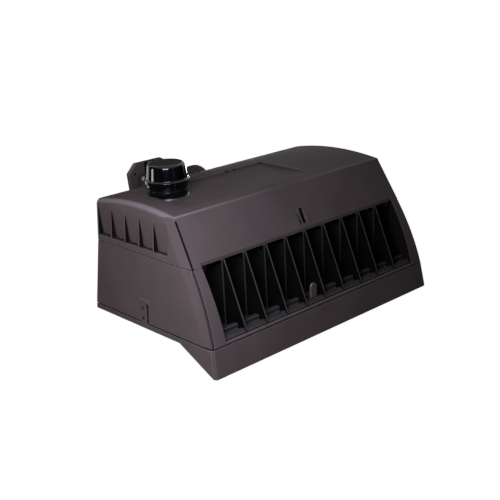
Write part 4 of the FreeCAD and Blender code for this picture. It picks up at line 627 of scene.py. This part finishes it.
class FloodLightFinish(bpy.types.PropertyGroup):
    """Colours and gloss of the light's finishes."""

    coat: FloatVectorProperty(
        name="Coat", description="Main tone of the bronze powder coat",
        subtype="COLOR", size=4, default=linear("#463d3d"))
    coat_light: FloatVectorProperty(
        name="Coat light", description="Lighter tone that the coat drifts to",
        subtype="COLOR", size=4, default=linear("#4c4343"))
    # Paler coat tone: edge wear, and the painted highlight and sheen on edges, rims and the crease
    coat_edge_wear_and_sheen: FloatVectorProperty(
        name="Coat edge", description="Tone of the coat where it thins along edges",
        subtype="COLOR", size=4, default=linear("#726a6d"))
    coat_gloss: FloatProperty(
        name="Coat gloss", description="Specular level of the powder coat",
        subtype="FACTOR", default=0.02, min=0.0, max=1.0)
    # Tone of the painted shade in grooves, seams, inner faces and recesses
    recess: FloatVectorProperty(
        name="Recess", description="Tone of the coat deep in grooves and seams",
        subtype="COLOR", size=4, default=linear("#100d0e"))
    # How near walls must be for the ambient occlusion to paint shade
    recess_reach: FloatProperty(
        name="Recess reach", description="How near walls must be to make a recess",
        unit="LENGTH", default=8*MM, min=0.0)
    # Paler vane tone: edge wear, and the painted highlight on flange fronts and sloping front
    # edges
    vane_edge_wear_and_highlight: FloatVectorProperty(
        name="Vane edge", description="Tone of the black vanes along their edges",
        subtype="COLOR", size=4, default=linear("#383837"))
    rail: FloatVectorProperty(
        name="Rail", description="Main tone of the charcoal rail under the vanes",
        subtype="COLOR", size=4, default=linear("#262525"))
    cap: FloatVectorProperty(
        name="Control", description="Colour of the control's polycarbonate",
        subtype="COLOR", size=4, default=linear("#030305"))
    cap_gloss: FloatProperty(
        name="Control gloss", description="Specular level of the polycarbonate",
        subtype="FACTOR", default=0.3, min=0.0, max=1.0)
    black: FloatVectorProperty(
        name="Black", description="Black of seals, nylon and blackened steel",
        subtype="COLOR", size=4, default=linear("#0b0b0c"))
    zinc: FloatVectorProperty(
        name="Zinc", description="Main tone of plated and stainless steel",
        subtype="COLOR", size=4, default=linear("#b9b5ad"))
    sheet: FloatVectorProperty(
        name="Sheet", description="Main tone of aluminium sheet",
        subtype="COLOR", size=4, default=linear("#b4b6b8"))
    enamel: FloatVectorProperty(
        name="Enamel", description="Main tone of the driver cases",
        subtype="COLOR", size=4, default=linear("#bfc0be"))
    mask: FloatVectorProperty(
        name="Solder mask", description="Main tone of the LED boards",
        subtype="COLOR", size=4, default=linear("#eeece6"))
    phosphor: FloatVectorProperty(
        name="Phosphor", description="Main tone of the LED phosphor",
        subtype="COLOR", size=4, default=linear("#e6b53a"))
    glass: FloatVectorProperty(
        name="Glass", description="Tint of the lens glass",
        subtype="COLOR", size=4, default=linear("#ecf5f2"))


class FloodLightDetail(bpy.types.PropertyGroup):
    """Shapes of the small turned pieces."""

    socket_share: FloatProperty(
        name="Socket", description="Half width of a screw's socket as a share of its head",
        subtype="FACTOR", default=0.42, min=0.1, max=0.6)
    socket_depth: FloatProperty(
        name="Socket depth", description="Depth of a screw's socket as a share of its head",
        subtype="FACTOR", default=0.7, min=0.1, max=0.85)
    gland_flange: FloatProperty(
        name="Gland flange", description="Thickness of the cable gland's flange",
        unit="LENGTH", default=5*MM, min=0.0)
    gland_dome: FloatProperty(
        name="Gland dome", description="Length of the gland's dome nut",
        unit="LENGTH", default=16*MM, min=0.0)
    gland_bore: FloatProperty(
        name="Gland bore", description="Radius of the hole for the cable",
        unit="LENGTH", default=5*MM, min=0.0)
    grip_ribs: IntProperty(
        name="Grip ribs", description="Number of ribs round the gland's dome nut",
        default=12, min=3, max=24)
    grip_depth: FloatProperty(
        name="Grip depth", description="Depth of the grooves between the ribs",
        unit="LENGTH", default=0.9*MM, min=0.0)


class FloodLightStage(bpy.types.PropertyGroup):
    """Camera, lamps and floor."""

    camera_place: FloatVectorProperty(
        name="Camera place", description="Where the camera stands",
        subtype="TRANSLATION", unit="LENGTH", default=(-1.0386, -1.4396, 0.4554))
    azimuth: FloatProperty(
        name="Azimuth", description="How far round to the side the camera stands",
        subtype="ANGLE", default=math.radians(-42.139))
    elevation: FloatProperty(
        name="Elevation", description="How far the camera looks down",
        subtype="ANGLE", default=math.radians(18.784))
    roll: FloatProperty(
        name="Roll", description="How far the camera leans",
        subtype="ANGLE", default=math.radians(-3.004))
    lens: FloatProperty(
        name="Lens", description="Focal length of the camera",
        unit="CAMERA", default=65.59, min=1.0)
    floor_drop: FloatProperty(
        name="Floor drop", description="How far the floor is under the light",
        unit="LENGTH", default=1.8, min=0.0)
    key_power: FloatProperty(
        name="Key power", description="Power of the near soft lamp at the front left",
        unit="POWER", default=6.9, min=0.0)
    side_power: FloatProperty(
        name="Side power", description="Power of the low soft lamp on the left",
        unit="POWER", default=2.3, min=0.0)
    rear_power: FloatProperty(
        name="Rear power", description="Power of the soft lamp behind on the right",
        unit="POWER", default=18.0, min=0.0)
    low_power: FloatProperty(
        name="Low power", description="Power of the soft lamp under the light",
        unit="POWER", default=6.0, min=0.0)
    sky: FloatProperty(
        name="Sky", description="Strength of the even light from all round",
        default=0.02, min=0.0, max=2.0)


# Operators

class FLOODLIGHT_OT_castings(bpy.types.Operator):
    """Powder coat the cast shells, the door frame, the vanes and the mount"""

    bl_idname = "floodlight.castings"
    bl_label = "Castings"

    def execute(self, context):
        tones = context.scene.flood_light_finish
        coat_node(("top_cover", "main_housing", "door_frame", "sill_tab", "mount_bracket",
                   "mount_arm", "wall_plate"), bronze_powder_coat(tones))
        coat_node(("vane_rail",), charcoal_powder_coat(tones))
        coat_node(("front_vanes",), black_powder_coat(tones))
        return {"FINISHED"}


class FLOODLIGHT_OT_light_engine(bpy.types.Operator):
    """Finish the heat sink, LED boards, chips, optics and lens glass"""

    bl_idname = "floodlight.light_engine"
    bl_label = "Light engine"

    def execute(self, context):
        tones = context.scene.flood_light_finish
        coat_node(("heat_sink",), black_anodise())
        coat_node(("led_boards",), white_solder_mask(tones))
        coat_node(("led_chips",), phosphor(tones))
        coat_node(("led_optics",), clear_acrylic())
        coat_node(("glass_lens",), toughened_glass(tones))
        return {"FINISHED"}


class FLOODLIGHT_OT_power_gear(bpy.types.Operator):
    """Finish the driver tray, what stands on it and the moulded nylon pieces"""

    bl_idname = "floodlight.power_gear"
    bl_label = "Power gear"

    def execute(self, context):
        tones = context.scene.flood_light_finish
        coat_node(("driver_tray",), rolled_sheet(tones))
        coat_node(("led_driver_left", "led_driver_right", "surge_protector"),
                  driver_enamel(tones))
        coat_node(("terminal_block", "cap_base", "receptacle_nut", "gland_nut", "vent_plug"),
                  moulded_nylon(tones))
        return {"FINISHED"}


class FLOODLIGHT_OT_fasteners(bpy.types.Operator):
    """Finish the bolts, pins, rivets, latches, hidden screws and seals"""

    bl_idname = "floodlight.fasteners"
    bl_label = "Fasteners"

    def execute(self, context):
        tones = context.scene.flood_light_finish
        coat_node(("pivot_bolt", "pivot_nut", "pivot_washers", "cover_screws",
                   "heat_sink_screws", "tray_screws", "driver_screws", "hinge_pins",
                   "tray_standoffs"), zinc_plate(tones))
        coat_node(("tab_rivets", "latch_left", "latch_right"), blackened_steel(tones))
        coat_node(("bracket_gasket", "cover_gasket", "lens_gasket", "door_gasket", "cap_gasket"),
                  silicone_seal(tones))
        return {"FINISHED"}


class FLOODLIGHT_OT_screws(bpy.types.Operator):
    """Replace the plain screws that show with socket screws"""

    bl_idname = "floodlight.screws"
    bl_label = "Socket screws"

    def execute(self, context):
        detail = context.scene.flood_light_detail
        plate = zinc_plate(context.scene.flood_light_finish)
        for name, axis, body in SHOWN_SCREWS:
            shell = bmesh.new()
            for screw in screws_of(name, Vector([float(axis == letter) for letter in "XYZ"])):
                socket_screw(shell, detail, *screw)
            place_piece(name + "_socketed", shell, plate, body, "zinc_steel", name)
        return {"FINISHED"}


class FLOODLIGHT_OT_gland(bpy.types.Operator):
    """Replace the plain cable gland with a ribbed dome nut and its rubber insert"""

    bl_idname = "floodlight.gland"
    bl_label = "Cable gland"

    def execute(self, context):
        detail, tones = context.scene.flood_light_detail, context.scene.flood_light_finish
        low, high = (Vector(corner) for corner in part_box("cable_gland"))
        base = Vector(((low.x + high.x)/2, low.y, (low.z + high.z)/2))
        flat, whole = (high.z - low.z)/2, high.y - low.y
        dome, bore = detail.gland_dome, detail.gland_bore
        nut_foot = whole - dome
        flange_foot = nut_foot - detail.gland_flange
        thread, grip = GLAND_THREAD*flat, GLAND_GRIP*flat
        neck, insert = grip - GLAND_LEAD, (thread + bore)/2
        ribs = ribbed_rim(grip, detail.grip_depth, detail.grip_ribs)
        shell = bmesh.new()
        stack_rims(shell, [
            (0.0, round_rim(thread - GLAND_LEAD)),
            (GLAND_LEAD, round_rim(thread)),
            (flange_foot, round_rim(thread)),
            (flange_foot, hex_rim(flat - GLAND_BEVEL, GLAND_TURN)),
            (flange_foot + GLAND_BEVEL, hex_rim(flat, GLAND_TURN)),
            (nut_foot - GLAND_BEVEL, hex_rim(flat, GLAND_TURN)),
            (nut_foot - GLAND_BEVEL, round_rim(neck)),
            (nut_foot + GLAND_NECK, round_rim(neck)),
            (nut_foot + GLAND_BEVEL, ribs),
            (whole - DOME_RIBS*dome, ribs),
            (whole - DOME_SHOULDER*dome, round_rim(SHOULDER_REACH*grip)),
            (whole, round_rim(TIP_RADIUS*grip)),
            (whole, round_rim(insert)),
            (0.0, round_rim(insert)),
        ], base, REARWARD, hollow=True)
        place_piece("cable_gland_ribbed", shell, moulded_nylon(tones), "housing",
                    "gland_plastic", "cable_gland")
        seal = bmesh.new()
        seal_foot = whole - INSERT_SHARE*dome
        stack_rims(seal, [
            (seal_foot, round_rim(insert)),
            (whole - LIP_START, round_rim(insert)),
            (whole - LIP_END, round_rim(insert - LIP_ROUND)),
            (whole - LIP_DIP, round_rim(bore)),
            (seal_foot, round_rim(bore)),
        ], base, REARWARD, hollow=True)
        place_piece("gland_insert", seal, silicone_seal(tones), "housing", "seal_rubber")
        return {"FINISHED"}


class FLOODLIGHT_OT_control(bpy.types.Operator):
    """Finish the twist-on control and its socket"""

    bl_idname = "floodlight.control"
    bl_label = "Control"

    def execute(self, context):
        tones = context.scene.flood_light_finish
        coat_node(("photocell_receptacle", "photocell_cap"), gloss_polycarbonate(tones))
        coat_node(("receptacle_ring",), stainless_ring(tones))
        coat_node(("cap_blades",), pressed_brass())
        return {"FINISHED"}


class FLOODLIGHT_OT_stage(bpy.types.Operator):
    """Set up the floor, the lamps, the sky and the camera"""

    bl_idname = "floodlight.stage"
    bl_label = "Stage"

    def execute(self, context):
        stage = context.scene.flood_light_stage
        self.floor(stage)
        for flag in FLAGS:
            self.flag(*flag)
        self.sky(context.scene, stage)
        for name, place, target, width, tint in LAMPS:
            power = getattr(stage, name.replace("lamp", "power"))
            self.lamp(name, place, target, width, power, tint)
        self.camera(context.scene, stage)
        context.scene.view_settings.view_transform = "Standard"
        return {"FINISHED"}

    def sheet(self, name, half):
        """A flat stage sheet."""
        mesh = bpy.data.meshes.new(name)
        shell = bmesh.new()
        bmesh.ops.create_grid(shell, x_segments=1, y_segments=1, size=half)
        shell.to_mesh(mesh)
        shell.free()
        sheet = bpy.data.objects.new(name, mesh)
        bpy.context.scene.collection.objects.link(sheet)
        return sheet

    def floor(self, stage):
        """A pale floor that shows white and still takes the light's shadow."""
        floor = self.sheet("floor", FLOOR_HALF)
        floor.location.z = CAD_BOX[0][2] - stage.floor_drop
        material, tree, shader = start_finish("matt_white_floor", roughness=0.9)
        shader.inputs["Base Color"].default_value = linear("#e8e8e8")
        shader.inputs["Emission Color"].default_value = linear("#ffffff")
        glow = add(tree, "ShaderNodeMath", {"operation": "MULTIPLY"}, self.seen_rays(tree),
                   FLOOR_GLOW)
        tree.links.new(glow.outputs["Value"], shader.inputs["Emission Strength"])
        floor.data.materials.append(material)

    def flag(self, name, place, half, glow):
        """A dark card, out of the camera's sight, that keeps glare off glossy faces."""
        card = self.sheet(name, half)
        card.location = place
        card.rotation_euler = facing(place, FLAG_TARGET)
        for ray in ("camera", "diffuse", "shadow", "transmission", "volume_scatter"):
            setattr(card, "visible_" + ray, False)
        material, _, shader = start_finish(name + "_velvet", roughness=1.0, Specular_IOR_Level=0.0)
        shader.inputs["Base Color"].default_value = linear("#030303")
        shader.inputs["Emission Color"].default_value = linear("#ffffff")
        shader.inputs["Emission Strength"].default_value = glow
        card.data.materials.append(material)

    def seen_rays(self, tree):
        """One where a ray comes from the camera, a gloss or a clear surface."""
        path = add(tree, "ShaderNodeLightPath", {}).outputs
        either = add(tree, "ShaderNodeMath", {"operation": "MAXIMUM"}, path["Is Camera Ray"],
                     path["Is Glossy Ray"]).outputs["Value"]
        return add(tree, "ShaderNodeMath", {"operation": "MAXIMUM"}, either,
                   path["Is Transmission Ray"]).outputs["Value"]

    def sky(self, scene, stage):
        """Even light from all round, seen as white."""
        scene.world = bpy.data.worlds.new("studio_sky")
        scene.world.use_nodes = True
        tree = scene.world.node_tree
        level = add(tree, "ShaderNodeMapRange", {}, self.seen_rays(tree), 0.0, 1.0, stage.sky, 1.0)
        ground = tree.nodes["Background"]
        ground.inputs["Color"].default_value = linear("#ffffff")
        tree.links.new(level.outputs["Result"], ground.inputs["Strength"])

    def lamp(self, name, place, target, width, power, tint):
        """A square soft lamp that faces its target."""
        light = bpy.data.lights.new(name, "AREA")
        light.size = width
        light.energy = power
        light.color = linear(tint)[:3]
        lamp = bpy.data.objects.new(name, light)
        lamp.location = place
        lamp.rotation_euler = facing(place, target)
        lamp.visible_camera = False
        bpy.context.scene.collection.objects.link(lamp)

    def camera(self, scene, stage):
        """A camera where the photograph was taken from."""
        eye = bpy.data.cameras.new("camera")
        eye.lens = stage.lens
        eye.sensor_width = SENSOR_WIDTH
        camera = bpy.data.objects.new("camera", eye)
        level = math.cos(stage.elevation)
        back = Vector((math.sin(stage.azimuth)*level, -math.cos(stage.azimuth)*level,
                       math.sin(stage.elevation)))
        turn = back.to_track_quat("Z", "Y").to_matrix() @ Matrix.Rotation(stage.roll, 3, "Z")
        camera.matrix_world = Matrix.Translation(stage.camera_place) @ turn.to_4x4()
        scene.collection.objects.link(camera)
        scene.camera = camera


class FLOODLIGHT_PT_sidebar(bpy.types.Panel):
    """Lists the dressing steps and their settings"""

    bl_idname = "FLOODLIGHT_PT_sidebar"
    bl_label = "Flood Light"
    bl_space_type = "VIEW_3D"
    bl_region_type = "UI"
    bl_category = "Flood Light"

    def draw(self, context):
        for operator in OPERATORS:
            self.layout.operator(operator.bl_idname)
        for name in SETTINGS:
            settings = getattr(context.scene, name)
            box = self.layout.box()
            for size in settings.bl_rna.properties.keys():
                if size not in ("rna_type", "name"):
                    box.prop(settings, size)


OPERATORS = (
    FLOODLIGHT_OT_castings, FLOODLIGHT_OT_light_engine, FLOODLIGHT_OT_power_gear,
    FLOODLIGHT_OT_fasteners, FLOODLIGHT_OT_screws, FLOODLIGHT_OT_gland, FLOODLIGHT_OT_control,
    FLOODLIGHT_OT_stage,
)
SETTINGS = {
    "flood_light_finish": FloodLightFinish,
    "flood_light_detail": FloodLightDetail,
    "flood_light_stage": FloodLightStage,
}
CLASSES = (*SETTINGS.values(), *OPERATORS, FLOODLIGHT_PT_sidebar)


def register():
    """Add the classes and the scene's settings."""
    for kind in CLASSES:
        bpy.utils.register_class(kind)
    for name, kind in SETTINGS.items():
        setattr(bpy.types.Scene, name, PointerProperty(type=kind))


def unregister():
    """Take the settings and the classes away again."""
    for name in SETTINGS:
        delattr(bpy.types.Scene, name)
    for kind in reversed(CLASSES):
        bpy.utils.unregister_class(kind)


def main():
    """Dress the light piece by piece."""
    register()
    for operator in OPERATORS:
        group, name = operator.bl_idname.split(".")
        getattr(getattr(bpy.ops, group), name)()


if __name__ == "__main__":
    main()
